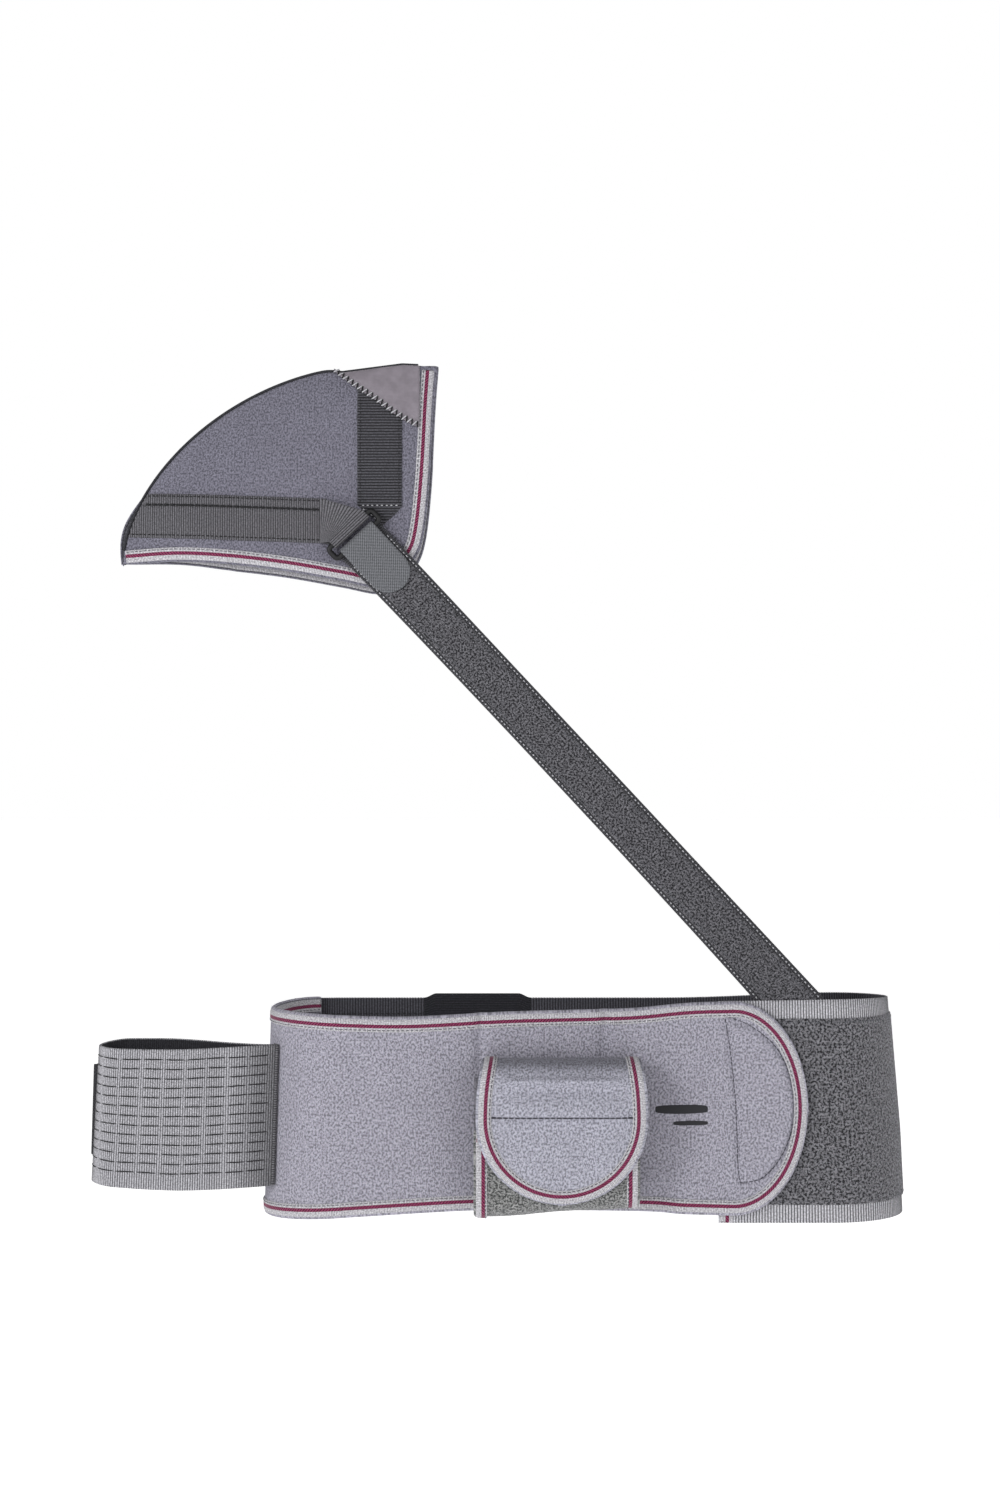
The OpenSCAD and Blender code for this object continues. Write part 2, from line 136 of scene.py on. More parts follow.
def curve_through(points, n):
    """n evenly spaced points on a smooth curve through the given ones."""
    p = np.asarray(points, float)
    p = np.vstack([2 * p[0] - p[1], p, 2 * p[-1] - p[-2]])
    t = np.linspace(0, 1, 16, endpoint=False)[:, None]
    runs = []
    for a, b, c, d in zip(p, p[1:], p[2:], p[3:]):
        bend, twist = 2 * a - 5 * b + 4 * c - d, 3 * b - a - 3 * c + d
        runs.append(0.5 * (2 * b + (c - a) * t + bend * t ** 2 + twist * t ** 3))
    return resample(np.vstack(runs + [p[-2:-1]]), n)


def near(points, line):
    """Distance from each point to the nearest sample of a line, in two dimensions."""
    flat = points.reshape(-1, 2)
    best = np.full(len(flat), 1e9)
    for q in line:
        best = np.minimum(best, ((flat - q) ** 2).sum(1))
    return np.sqrt(best).reshape(points.shape[:-1])


# ---- meshes ----

RIM = 0.35                         # how far a sheet's rim stands out, as a part of its thickness


def grid_quads(index):
    """The four corners of each cell in a grid of vertex numbers."""
    return np.stack([index[:-1, :-1], index[1:, :-1], index[1:, 1:], index[:-1, 1:]], -1).reshape(-1, 4)


def add_mesh(name, verts, quads, uv, materials, face_material=None, extra=()):
    """A mesh in metres from points in millimetres, with its faces turned outwards."""
    verts = np.asarray(verts, float)
    a, b, c, d = (verts[quads[:, k]] for k in range(4))
    volume = (a * np.cross(b, c)).sum() + (a * np.cross(c, d)).sum()
    faces = quads[:, ::-1].tolist() if volume < 0 else quads.tolist()
    faces += [list(f)[::-1] if volume < 0 else list(f) for f in extra]
    mesh = bpy.data.meshes.new(name)
    mesh.from_pydata((verts * MM).tolist(), [], faces)
    mesh.shade_smooth()
    for m in materials:
        mesh.materials.append(m)
    if face_material is not None:
        which = np.r_[face_material, np.zeros(len(extra))].astype(np.int32)
        mesh.polygons.foreach_set("material_index", which)
    corner = np.empty(len(mesh.loops), np.int32)
    mesh.loops.foreach_get("vertex_index", corner)
    mesh.uv_layers.new(name="weave").data.foreach_set("uv", np.asarray(uv, np.float32)[corner].ravel())
    obj = bpy.data.objects.new(name, mesh)
    bpy.context.scene.collection.objects.link(obj)
    return obj


def shell(name, outer, inner, uv, materials):
    """A sheet with two faces and a rounded rim, from two grids of points. Materials: outer, then inner."""
    nu, nv = outer.shape[:2]
    n = nu * nv
    index = np.arange(n).reshape(nu, nv)
    loop = np.concatenate([index[:-1, 0], index[-1, :-1], index[:0:-1, -1], index[0, :0:-1]])
    out = np.zeros_like(outer)
    out[0] += unit(outer[0] - outer[1])
    out[-1] += unit(outer[-1] - outer[-2])
    out[:, 0] += unit(outer[:, 0] - outer[:, 1])
    out[:, -1] += unit(outer[:, -1] - outer[:, -2])
    middle = (outer + inner) / 2 + unit(out) * RIM * np.linalg.norm(outer - inner, axis=-1, keepdims=True)
    verts = np.vstack([outer.reshape(-1, 3), inner.reshape(-1, 3), middle.reshape(-1, 3)[loop]])
    face = grid_quads(index)
    here, there = loop, np.roll(loop, -1)
    rim_here = 2 * n + np.arange(len(loop))
    rim_there = np.roll(rim_here, -1)
    sides = np.vstack([np.stack([there, here, rim_here, rim_there], 1),
                       np.stack([rim_there, rim_here, here + n, there + n], 1)])
    quads = np.vstack([face, face[:, ::-1] + n, sides])
    which = np.r_[np.zeros(len(face)), np.full(len(face), len(materials) - 1), np.zeros(len(sides))]
    uv = uv.reshape(-1, 2)
    return add_mesh(name, verts, quads, np.vstack([uv, uv, uv[loop]]), materials, which)


def sweep(name, path, side, up, section, materials, closed=False):
    """A closed section of (side, up, pattern place) points, carried along a path."""
    section = np.asarray(section, float)
    n, m = len(path), len(section)
    verts = path[:, None] + side[:, None] * section[None, :, 0:1] + up[:, None] * section[None, :, 1:2]
    index = np.arange(n * m).reshape(n, m)
    a, b = (index, np.roll(index, -1, 0)) if closed else (index[:-1], index[1:])
    quads = np.stack([a, b, np.roll(b, -1, 1), np.roll(a, -1, 1)], -1).reshape(-1, 4)
    uv = grid(lengths(path)[:, None], section[None, :, 2]).reshape(-1, 2)
    caps = [] if closed else [index[0].tolist(), index[-1][::-1].tolist()]
    return add_mesh(name, verts.reshape(-1, 3), quads, uv, materials, extra=caps)


def round_section(radius_a, radius_b, corners=12):
    angles = np.arange(corners) * math.tau / corners
    return [(radius_a * math.cos(t), radius_b * math.sin(t), t * radius_a) for t in angles]


def tape_section(thick, width, proud):
    """A tape folded over an edge: (distance from the edge, height, pattern place)."""
    half, r = thick / 2, thick / 2 + proud
    face = [(width, half - 0.2), (width + 0.05, half + 0.5 * proud), (width - 0.4, r - 0.08),
            (width * 0.72, r + 0.06), (width * 0.45, r + 0.02), (1.15 * r, r)]
    angles = np.radians([72, 54, 36, 18, 0, -18, -36, -54, -72])
    turn = [(1.15 * r * (1 - math.cos(t)), r * math.sin(t)) for t in angles]
    return [(a, h, a) for a, h in face + turn + [(a, -h) for a, h in reversed(face)]]


def edge_frames(edge, normal, sign):
    """At each point of an edge, the direction into the cloth and the one out of its face."""
    along = unit(np.gradient(edge, axis=0))
    into = unit(np.cross(normal, along)) * sign
    out = np.cross(along, into)
    return into, unit(out) * np.sign((out * normal).sum(-1, keepdims=True))


STITCH_AT = np.array([0, 0.1, 0.3, 0.7, 0.9, 1])
STITCH_GIRTH = np.array([0.25, 0.8, 1, 1, 0.8, 0.25])
CORNERS = 6                        # corners round a thread


def stitch_rows(name, rows, material, length=2.6, gap=1.2, radius=0.3, sink=0.3, uneven=0.15):
    """Short threads lying along each (path, normal) row."""
    around = np.arange(CORNERS) * math.tau / CORNERS
    groups = []
    for path, normal in rows:
        d = lengths(path)
        count = max(1, int(d[-1] // (length + gap)))
        start = (np.arange(count) + 0.5) * d[-1] / count - length / 2
        start = start + random.uniform(-uneven, uneven, count) * gap
        s = start[:, None] + STITCH_AT * length
        centre, up = columns_at(s, d, path), unit(columns_at(s, d, normal))
        along = unit(centre[:, -1] - centre[:, 0])[:, None]
        across = unit(np.cross(up, np.broadcast_to(along, up.shape)))
        centre = centre + up * radius * (STITCH_GIRTH[:, None] * (1 - sink) - 0.35)
        girth = radius * STITCH_GIRTH[None, :, None, None]
        ring = np.cos(around)[:, None] * across[:, :, None] + np.sin(around)[:, None] * up[:, :, None]
        groups.append(centre[:, :, None] + girth * ring)
    verts = np.concatenate(groups).reshape(-1, 3)
    index = np.arange(len(STITCH_AT) * CORNERS).reshape(-1, CORNERS)
    count = len(verts) // index.size
    a, b = index[:-1], index[1:]
    one = np.stack([a, b, np.roll(b, -1, 1), np.roll(a, -1, 1)], -1).reshape(-1, 4)
    shift = (np.arange(count) * index.size)[:, None, None]
    quads = (one[None] + shift).reshape(-1, 4)
    ends = np.stack([index[0], index[-1][::-1]])[None] + shift
    uv = np.tile(grid(STITCH_AT[:, None] * length, around * radius).reshape(-1, 2), (count, 1))
    return add_mesh(name, verts, quads, uv, [material], extra=ends.reshape(-1, CORNERS).tolist())


# ---- materials ----

WHITE = (1, 1, 1)


def shade(colour, k):
    return tuple(c * k for c in colour)


class Finish:
    """A Principled material, with short ways to add the nodes that pattern it.
    Patterns are sized in millimetres, on the mesh's own pattern coordinates."""

    def __init__(self, name, roughness=0.9, sheen=0.0, tint=WHITE, specular=0.3):
        self.material = bpy.data.materials.new(name)
        self.material.use_nodes = True
        self.tree = self.material.node_tree
        self.shader = self.tree.nodes["Principled BSDF"]
        self.set(self.shader, {"Roughness": roughness, "Sheen Weight": sheen, "Sheen Roughness": 0.45,
                               "Sheen Tint": (*tint, 1), "Specular IOR Level": specular})
        self.place = self.add("ShaderNodeUVMap", uv_map="weave").outputs["UV"]

    def set(self, node, values):
        for key, value in values.items():
            socket = node.inputs[key]
            if isinstance(value, bpy.types.NodeSocket):
                self.tree.links.new(value, socket)
            else:
                socket.default_value = value

    def add(self, kind, values=None, **settings):
        node = self.tree.nodes.new(kind)
        for key, value in settings.items():
            setattr(node, key, value)
        self.set(node, values or {})
        return node

    def math(self, operation, a, b=0.0):
        return self.add("ShaderNodeMath", {0: a, 1: b}, operation=operation).outputs[0]

    def noise(self, size, detail=2.0, roughness=0.5, stretch=(1, 1)):
        scale = (stretch[0] / size, stretch[1] / size, 1)
        scaled = self.add("ShaderNodeVectorMath", {0: self.place, 1: scale}, operation="MULTIPLY").outputs[0]
        values = {"Vector": scaled, "Scale": 1.0, "Detail": detail, "Roughness": roughness}
        return self.add("ShaderNodeTexNoise", values, noise_dimensions="2D").outputs[0]

    def axis(self, k):
        return self.add("ShaderNodeSeparateXYZ", {0: self.place}).outputs[k]

    def wave(self, along, pitch):
        """A wave from 0 to 1 that repeats each time `along` has grown by the pitch."""
        sine = self.math("SINE", self.math("MULTIPLY", along, math.tau / pitch))
        return self.add("ShaderNodeMath", {0: sine, 1: 0.5, 2: 0.5}, operation="MULTIPLY_ADD").outputs[0]

    def ribs(self, pitch, k):
        return self.wave(self.axis(k), pitch)

    def twill(self, pitch, operation="ADD"):
        """A wave along one diagonal of the pattern, and with SUBTRACT along the other."""
        return self.wave(self.math(operation, self.axis(0), self.axis(1)), pitch)

    def ramp(self, factor, stops):
        node = self.add("ShaderNodeValToRGB", {"Fac": factor})
        points = node.color_ramp.elements
        while len(points) < len(stops):
            points.new(0.5)
        for point, (place, colour) in zip(points, stops):
            point.position = place
            point.color = (*colour, 1)
        return node.outputs["Color"]

    def tones(self, factor, colour, *stops):
        """A ramp through darker and lighter tones of a colour, each given as (place, strength)."""
        return self.ramp(factor, [(place, shade(colour, k)) for place, k in stops])

    def mix(self, factor, a, b, blend="MIX"):
        node = self.add("ShaderNodeMix", data_type="RGBA", blend_type=blend)
        for socket, value in ((node.inputs[0], factor), (node.inputs[6], a), (node.inputs[7], b)):
            if isinstance(value, bpy.types.NodeSocket):
                self.tree.links.new(value, socket)
            else:
                socket.default_value = (*value, 1) if isinstance(value, tuple) else value
        return node.outputs[2]

    def multiply(self, a, b):
        return self.mix(1.0, a, b, "MULTIPLY")

    def colour(self, value):
        if isinstance(value, tuple):
            value = (*value, 1)
        self.set(self.shader, {"Base Color": value})

    def bump(self, height, depth):
        """Adds relief of the given depth in millimetres, on top of any added before."""
        node = self.add("ShaderNodeBump", {"Height": height, "Distance": depth * MM, "Strength": 1.0})
        before = self.shader.inputs["Normal"]
        if before.is_linked:
            self.tree.links.new(before.links[0].from_socket, node.inputs["Normal"])
        self.tree.links.new(node.outputs[0], before)


def painted_shade_until(f, colour, axis, start, end, least):
    """Painted shade: darkens a cloth's colour below a place along one pattern axis. It stands for the shade
    over the wrist flap's fold and beside the arm cuff's seam.
    """
    place = f.math("DIVIDE", f.math("SUBTRACT", f.axis(axis), start), end - start)
    return f.multiply(colour, f.tones(place, WHITE, (0, least), (1, 1)))


def brushed_fabric(name, colour, grain=1.45, sheen=0.2, turned=None):
    """Brushed laminate. turned gives the numbers for painted shade below a place along a pattern axis."""
    f = Finish(name, roughness=0.95, sheen=sheen, tint=(0.9, 0.9, 1.0), specular=0.15)
    nap = f.noise(grain, 4, 0.62, (1, 0.8))
    tone = f.tones(nap, colour, (0.38, 0.52), (0.5, 1), (0.62, 1.36))
    mixed = f.multiply(tone, f.tones(f.noise(16, 2), WHITE, (0.35, 0.94), (0.65, 1)))
    # turned, if given, paints shade below a place along a pattern axis.
    f.colour(painted_shade_until(f, mixed, *turned) if turned else mixed)
    f.bump(nap, 0.8)
    f.bump(f.noise(0.35, 2, 0.7), 0.1)
    return f.material


def pile_fabric(name, dark, light, grain=1.8):
    f = Finish(name, roughness=1.0, sheen=0.35, tint=(0.95, 0.95, 1.0), specular=0.1)
    loops = f.noise(grain, 4, 0.75)
    middle = tuple((a + b) / 2 for a, b in zip(dark, light))
    tone = f.ramp(loops, [(0.44, dark), (0.5, middle), (0.56, light)])
    f.colour(f.multiply(tone, f.tones(f.noise(6, 3, 0.6), WHITE, (0.3, 0.78), (0.7, 1.1))))
    f.bump(loops, 1.1)
    return f.material


def ribbed_cloth(name, colour, pitch, axis, groove=0.55, depth=0.35, yarn=0.9, turned=None):
    """Woven ribs that run across pattern axis `axis`, with the yarn's own texture between them. The rib wave
    paints shade in the grooves and a highlight on the crests; turned, if given, adds painted shade below a
    place along a pattern axis.
    """
    f = Finish(name, roughness=0.85, sheen=0.1, specular=0.25)
    rib = f.ribs(pitch, axis)
    fuzz = f.noise(1.3, 3, 0.7)
    # Painted shade and highlight: the colour falls to `groove` of itself in the rib grooves and rises on the
    # crests, with the same wave as the bump.
    tone = f.tones(rib, colour, (0.05, groove), (0.45, 0.95), (1.0, 1.12))
    mixed = f.multiply(tone, f.tones(fuzz, WHITE, (0.35, 0.62), (0.65, 1.25)))
    # turned, if given, paints shade below a place along a pattern axis.
    f.colour(painted_shade_until(f, mixed, *turned) if turned else mixed)
    f.bump(rib, depth)
    f.bump(f.math("MULTIPLY", f.ribs(yarn, 1 - axis), fuzz), 0.12)
    return f.material


def edge_tape_cloth(name, colour, plum):
    """Folded edge tape: fine ribs, and a woven plum line between two places across it."""
    f = Finish(name, roughness=0.85, sheen=0.15, specular=0.25)
    across = f.axis(1)
    rib = f.ribs(1.15, 0)
    # Painted shade in the grooves between the fine ribs, and a painted highlight on their crests.
    ground = f.tones(rib, colour, (0, 0.55), (0.5, 1), (1, 1.15))
    twill = f.twill(2.2)
    line = f.ramp(twill, [(0.15, shade(plum, 0.35)), (0.55, plum), (0.95, (0.27, 0.055, 0.115))])
    inside = f.math("MULTIPLY", f.math("GREATER_THAN", across, 4.5), f.math("LESS_THAN", across, 7.1))
    grain = f.tones(f.noise(1.2, 3, 0.7), WHITE, (0.38, 0.58), (0.62, 1.2))
    f.colour(f.multiply(f.mix(inside, ground, line), grain))
    f.bump(rib, 0.12)
    f.bump(f.math("MULTIPLY", inside, twill), 0.12)
    return f.material


def hook_cloth(name, colour):
    f = Finish(name, roughness=0.7, specular=0.35)
    crossed = f.math("ADD", f.twill(2.2), f.math("MULTIPLY", f.twill(3.1, "SUBTRACT"), 0.5))
    cell = f.math("MULTIPLY", crossed, f.math("ADD", f.noise(1.1, 3), 0.1))
    f.colour(f.tones(cell, colour, (0.1, 0.4), (0.4, 0.75), (0.8, 1.25)))
    f.bump(cell, 0.16)
    return f.material


def smooth_knit(name, colour):
    f = Finish(name, roughness=0.8, sheen=0.35, tint=(1, 0.95, 1), specular=0.2)
    knit = f.math("MULTIPLY", f.ribs(0.8, 0), f.ribs(1.1, 1))
    tone = f.tones(f.noise(8, 2), colour, (0.3, 0.88), (0.7, 1.08))
    f.colour(f.multiply(tone, f.tones(knit, WHITE, (0, 0.9), (1, 1.03))))
    f.bump(knit, 0.08)
    return f.material


def moulded_plastic(name, colour):
    f = Finish(name, roughness=0.5, specular=0.3)
    f.colour(f.tones(f.noise(3, 3), colour, (0.3, 0.8), (0.7, 1.25)))
    f.bump(f.noise(0.6, 2), 0.03)
    return f.material


def thread(name, colour):
    f = Finish(name, roughness=0.7, sheen=0.1, specular=0.3)
    twist = f.twill(0.6)
    f.colour(f.tones(twist, colour, (0, 0.7), (1, 1.1)))
    f.bump(twist, 0.05)
    return f.material


BRUSHED = brushed_fabric("brushed_laminate", (0.312, 0.303, 0.357))
# The flap's copy of the laminate has painted shade over the top of its fold, darkest up to 38 mm along its
# run.
FLAP_BRUSHED_SHADED = brushed_fabric("brushed_laminate_flap_painted_shade", (0.342, 0.341, 0.4), turned=(1, 38, 50, 0.5))
CAP_BRUSHED = brushed_fabric("brushed_laminate_cap", (0.157, 0.153, 0.192), 1.25)
# A darker copy of the lining for the cap: painted shade where the back panel shows past the front one.
CAP_LINING_SHADED = brushed_fabric("cap_lining_painted_shade", (0.1, 0.1, 0.115), 1.2, 0.1)
LINING = brushed_fabric("lining", (0.15, 0.147, 0.168), 1.2, 0.1)
PILE = pile_fabric("loop_pile", (0.013, 0.013, 0.015), (0.226, 0.223, 0.243))
VELOUR = pile_fabric("wrap_velour", (0.042, 0.045, 0.043), (0.32, 0.322, 0.32), 1.7)
STRAP_PILE = pile_fabric("strap_velour", (0.01, 0.01, 0.012), (0.166, 0.163, 0.179), 1.5)
TAPE = edge_tape_cloth("edge_tape", (0.49, 0.48, 0.51), (0.19, 0.014, 0.07))
ELASTIC = ribbed_cloth("grey_elastic", (0.47, 0.465, 0.5), ELASTIC_PITCH, 0, 0.15)
ELASTIC_IN = ribbed_cloth("charcoal_elastic", (0.068, 0.067, 0.08), ELASTIC_PITCH, 0, 0.25)
# The arm elastic has painted shade beside its seam at the belt, fading over the first 30 mm of the loop's
# front.
ARM_ELASTIC = ribbed_cloth("ribbed_arm_elastic", (0.4, 0.396, 0.426), 1.7, 0, 0.2, turned=(0, -6, 30, 0.25))
# A darker copy of the arm elastic for the seam roll: painted shade where the cuff meets the belt.
ARM_FOLD_SHADED = ribbed_cloth("ribbed_arm_fold_painted_shade", (0.14, 0.138, 0.15), 1.7, 0, 0.2)
ARM_INSIDE = ribbed_cloth("arm_elastic_inside", (0.03, 0.03, 0.036), 1.6, 0, 0.5)
WEBBING = ribbed_cloth("cap_webbing", (0.129, 0.126, 0.14), WEBBING_PITCH, 0, 0.2, 0.4)
WEBBING_DARK = ribbed_cloth("upright_webbing", (0.068, 0.067, 0.078), UPRIGHT_PITCH, 0, 0.06, 0.45)
STRAP_WEB = ribbed_cloth("strap_webbing", (0.055, 0.055, 0.062), STRAP_PITCH, 0, 0.35)
GRIP = ribbed_cloth("grip_patch", (0.022, 0.022, 0.028), 1.8, 1, 0.5)
HOOK = hook_cloth("hook_tape", (0.126, 0.13, 0.143))
HOOK_DARK = hook_cloth("dark_hook_tape", (0.025, 0.025, 0.03))
HOOK_PATCH = hook_cloth("hook_patch", (0.22, 0.22, 0.24))
TRICOT = smooth_knit("stretch_tricot", (0.225, 0.202, 0.23))
RING = moulded_plastic("ring_plastic", (0.008, 0.008, 0.009))
PIPING = ribbed_cloth("seam_piping", (0.03, 0.03, 0.036), 1.2, 0, 0.5, 0.15)
THREAD_GREY = thread("grey_thread", (0.11, 0.115, 0.13))
THREAD_PALE = thread("pale_thread", (0.5, 0.5, 0.53))
THREAD_BLACK = thread("black_thread", (0.008, 0.008, 0.01))
THREAD_DARK = thread("dark_thread", (0.045, 0.043, 0.055))
PRINT = thread("print_ink", (0.02, 0.02, 0.024))


def dress(obj, slot, *nodes, body=None, bend=None):
    """Hides the CAD nodes that a finished piece stands for, and puts the piece on its body; with bend given,
    it bakes the piece's place into its mesh instead.
    """
    if nodes:
        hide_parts(*nodes)
    if bend:
        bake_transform(obj)
    else:
        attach(obj, body)
    return obj


def edge_tape(name, edge, normal, sign, thick, *nodes, width=TAPE_W, proud=TAPE_T, body=None, bend=None):
    """A tape folded over a cloth's edge, dressed for the binding nodes that it stands for."""
    into, up = edge_frames(edge, normal, sign)
    tape = sweep(name, edge, into, up, tape_section(thick, width, proud), [TAPE])
    dress(tape, "edge_tape", *nodes, body=body, bend=bend)


def tape_seam(edge, normal, sign, inset, thick, faces=(1,)):
    """Rows for an edge tape's stitches, `inset` from the edge, on the outer face (1) or inner face (-1)."""
    into, _ = edge_frames(edge, normal, sign)
    return [(edge + into * inset + normal * face * (thick / 2 + TAPE_T), normal * face) for face in faces]


FINE = (2.4, 1.0, 0.34)            # the stitches along most edge tapes


def sew(name, rows, material, size=(), slot="edge_tape", body=None, bend=None):
    """Stitches on their body. size is their length, gap and radius, and may add how they sink and vary.
    Left out, stitch_rows takes its own."""
    dress(stitch_rows(name, rows, material, *size), slot, body=body, bend=bend)


# ---- chest belt ----

CLOSURE_BEND = ("belt", "closure", (CLOSURE_X - 7, -BELT_R, ROUND_Z), (CLOSURE_X + 7, -BELT_R, ROUND_Z))


def belt_edge(points, x):
    line = curve_through(points, 400)
    return np.interp(x, line[:, 0], line[:, 1])


def panel_frame(c):
    """Where the outer face is at distance c from the left turn along the belt, and which way it looks."""
    turn = -np.minimum(c, 0) / BELT_R
    x = LEFT_X + np.maximum(c, 0) - BELT_R * np.sin(turn)
    return x, -BELT_R * np.cos(turn), grid(-np.sin(turn), -np.cos(turn), 0 * turn)


def left_lean(x, z):
    """The left turn leans in towards its top."""
    return 5.0 * ease(-x, -LEFT_X, -panel_low[0]) * np.clip((z + 78) / 150, 0, 1)


def bump_at(x, middle, width):
    return np.exp(-((x - middle) / width) ** 2)


def panel_wave(c, z):
    """How far the laminate stands out of its plain curve, in soft folds."""
    x = LEFT_X + c
    high = ease(z, 22, 50)
    folds = -3.0 * bump_at(x, -76, 3.6) * high - 3.2 * bump_at(x, 14, 4) * high
    folds = folds + 1.2 * bump_at(x, -34, 18) * high
    pull = -2.0 * bump_at(x, 84, 11) * bump_at(z, 5, 60) - 1.0 * bump_at(x, 58, 9) * ease(z, 25, 60)
    left = 0.7 * bump_at(x, -150, 30) * bump_at(z, -10, 50) - 0.5 * np.sin(x / 21) * ease(np.abs(z), 50, 75)
    return folds + pull + left * ease(c, 0, 40)


def panel_point(c, z, depth):
    """Points `depth` inside the laminate's outer face, and the way the face looks there."""
    x, y, normal = panel_frame(c)
    base = grid(x + left_lean(x, z), y, z)
    return base + normal * (panel_wave(c, z) - depth)[..., None], normal


PATCH_LINE = curve_through([(101, 67), (105, 40), (108.5, 5), (110, -34), (111.5, -50.5), (114, -51),
                            (127, -48.5), (140, -35), (149, -14), (151, 8), (146, 30), (136, 48), (120, 61),
                            (106, 67), (101, 67)], 260)
PATCH_FROM = 95                    # the sewn patch lies right of this


def inside_line(points, line):
    x, z = points[..., 0], points[..., 1]
    odd = np.zeros(x.shape, bool)
    for (ax, az), (bx, bz) in zip(line, np.roll(line, -1, 0)):
        if az != bz:
            odd ^= ((az > z) != (bz > z)) & (x < (bx - ax) * (z - az) / (bz - az) + ax)
    return odd


def patch_relief(c, flat):
    """How deep the closing end's face lies: lower along the patch's seam, and raised inside it."""
    depth = np.zeros(flat.shape[:-1])
    area = c > PATCH_FROM - LEFT_X
    gap = near(flat[area], PATCH_LINE)
    puff = np.where(inside_line(flat[area], PATCH_LINE), 0.9 * ease(gap, 0, 6), 0)
    depth[area] = 2.1 * np.exp(-(gap / 1.5) ** 2) - puff
    return depth


def panel_outline():
    """Distances along the belt up to the round end, with the heights of the panel's top and bottom edges."""
    c = np.linspace(-BELT_R * PANEL_END, ROUND_C, 290)
    x = panel_frame(c)[0]
    back_end = 2.0 * ease(-c, BELT_R * 1.6, BELT_R * 2.6)
    return c, belt_edge(EDGE_TOP, x) + back_end, belt_edge(EDGE_BOTTOM, x)


def front_panel():
    c, top, bottom = panel_outline()
    tip = arc(0, 88.6, 56)[1:]
    c = np.r_[c, ROUND_C + ROUND_REACH * np.sin(tip)]
    top = np.r_[top, ROUND_Z + ROUND_H * np.cos(tip)]
    bottom = np.r_[bottom, ROUND_Z - ROUND_H * np.cos(tip)]
    z = bottom[:, None] + (top - bottom)[:, None] * np.linspace(0, 1, 92)
    cc = np.broadcast_to(c[:, None], z.shape)
    flat = grid(LEFT_X + cc, z)
    outer, _ = panel_point(cc, z, patch_relief(c, flat))
    inner, _ = panel_point(cc, z, LAMINATE)
    panel = shell("belt_front_panel", outer, inner, flat, [BRUSHED, LINING])
    dress(panel, "brushed_laminate", "front_panel", "closure_flap", bend=CLOSURE_BEND)


def belt_binding():
    """The edge: along the top from the back end, round the closing end, and back along the bottom."""
    c, top, bottom = panel_outline()
    whole = arc(0, 180, 130)[1:-1]
    edge_c = np.r_[c, ROUND_C + ROUND_REACH * np.sin(whole), c[::-1]]
    edge_z = np.r_[top, ROUND_Z + ROUND_H * np.cos(whole), bottom[::-1]]
    edge, normal = panel_point(edge_c, edge_z, LAMINATE / 2)
    edge_tape("belt_binding", edge, normal, -1, LAMINATE, "panel_top_binding", "panel_bottom_binding",
              "closure_flap_binding", bend=CLOSURE_BEND)
    rows = tape_seam(edge, normal, -1, TAPE_W - 1.3, LAMINATE, (1, -1))
    sew("belt_binding_stitches", rows, THREAD_GREY, FINE, bend=CLOSURE_BEND)
    patch = PATCH_LINE[:-1]
    seam = panel_point(patch[:, 0] - LEFT_X, patch[:, 1], 1.7)
    sew("closure_patch_stitches", [seam], THREAD_DARK, (3.4, 0.5, 0.34), bend=CLOSURE_BEND)


def hook_patch(name, x, z, node, body):
    """Hooks under a closing end, as deep as their CAD node."""
    low, high = box_mm(node)
    patch = shell(name, grid(x, low[1] + 0.05, z), grid(x, high[1], z), grid(x, z), [HOOK_PATCH])
    dress(patch, "hook_tape", node, body=body)


def closure_hooks():
    low, high = box_mm("closure_hook_patch")
    tip = arc(-87, 87, 60)
    z = ROUND_Z + (high[2] - low[2]) / 2 * np.sin(tip)
    x = ROUND_X + (high[0] - ROUND_X) * np.cos(tip)
    x = low[0] + (x[:, None] - low[0]) * np.linspace(0, 1, 30)
    hook_patch("closure_hooks", x, z[:, None], "closure_hook_patch", "closure")


ELASTIC_T = 1.6
FRONT_Y = -54.0                    # outer face of the elastic under the closing end
RIGHT_R = (elastic_high[1] - FRONT_Y) / 2
RIGHT_Y = (elastic_high[1] + FRONT_Y) / 2
RIGHT_X = elastic_high[0] - RIGHT_R
ELASTIC_X = closure_low[0] - 6
BACK_R = elastic_high[1]
E_RIGHT = RIGHT_X - ELASTIC_X      # distances along the elastic where each stretch ends
E_BACK = E_RIGHT + math.pi * RIGHT_R
E_LEFT = E_BACK + RIGHT_X - LEFT_X
E_END = E_LEFT + BACK_R * math.radians(48)


LEAN_X, LEAN_RUN, LEAN_Z = 100, 136, -20    # where the right turn's lean starts, and over how far it grows


def right_lean(x, z):
    """The right turn leans in towards its top, and a little out towards its foot."""
    grown = np.clip((x - LEAN_X) / LEAN_RUN, 0, 1) ** 2
    return np.where(z > LEAN_Z, -0.085 * (z - LEAN_Z), -0.05 * (z - LEAN_Z)) * grown


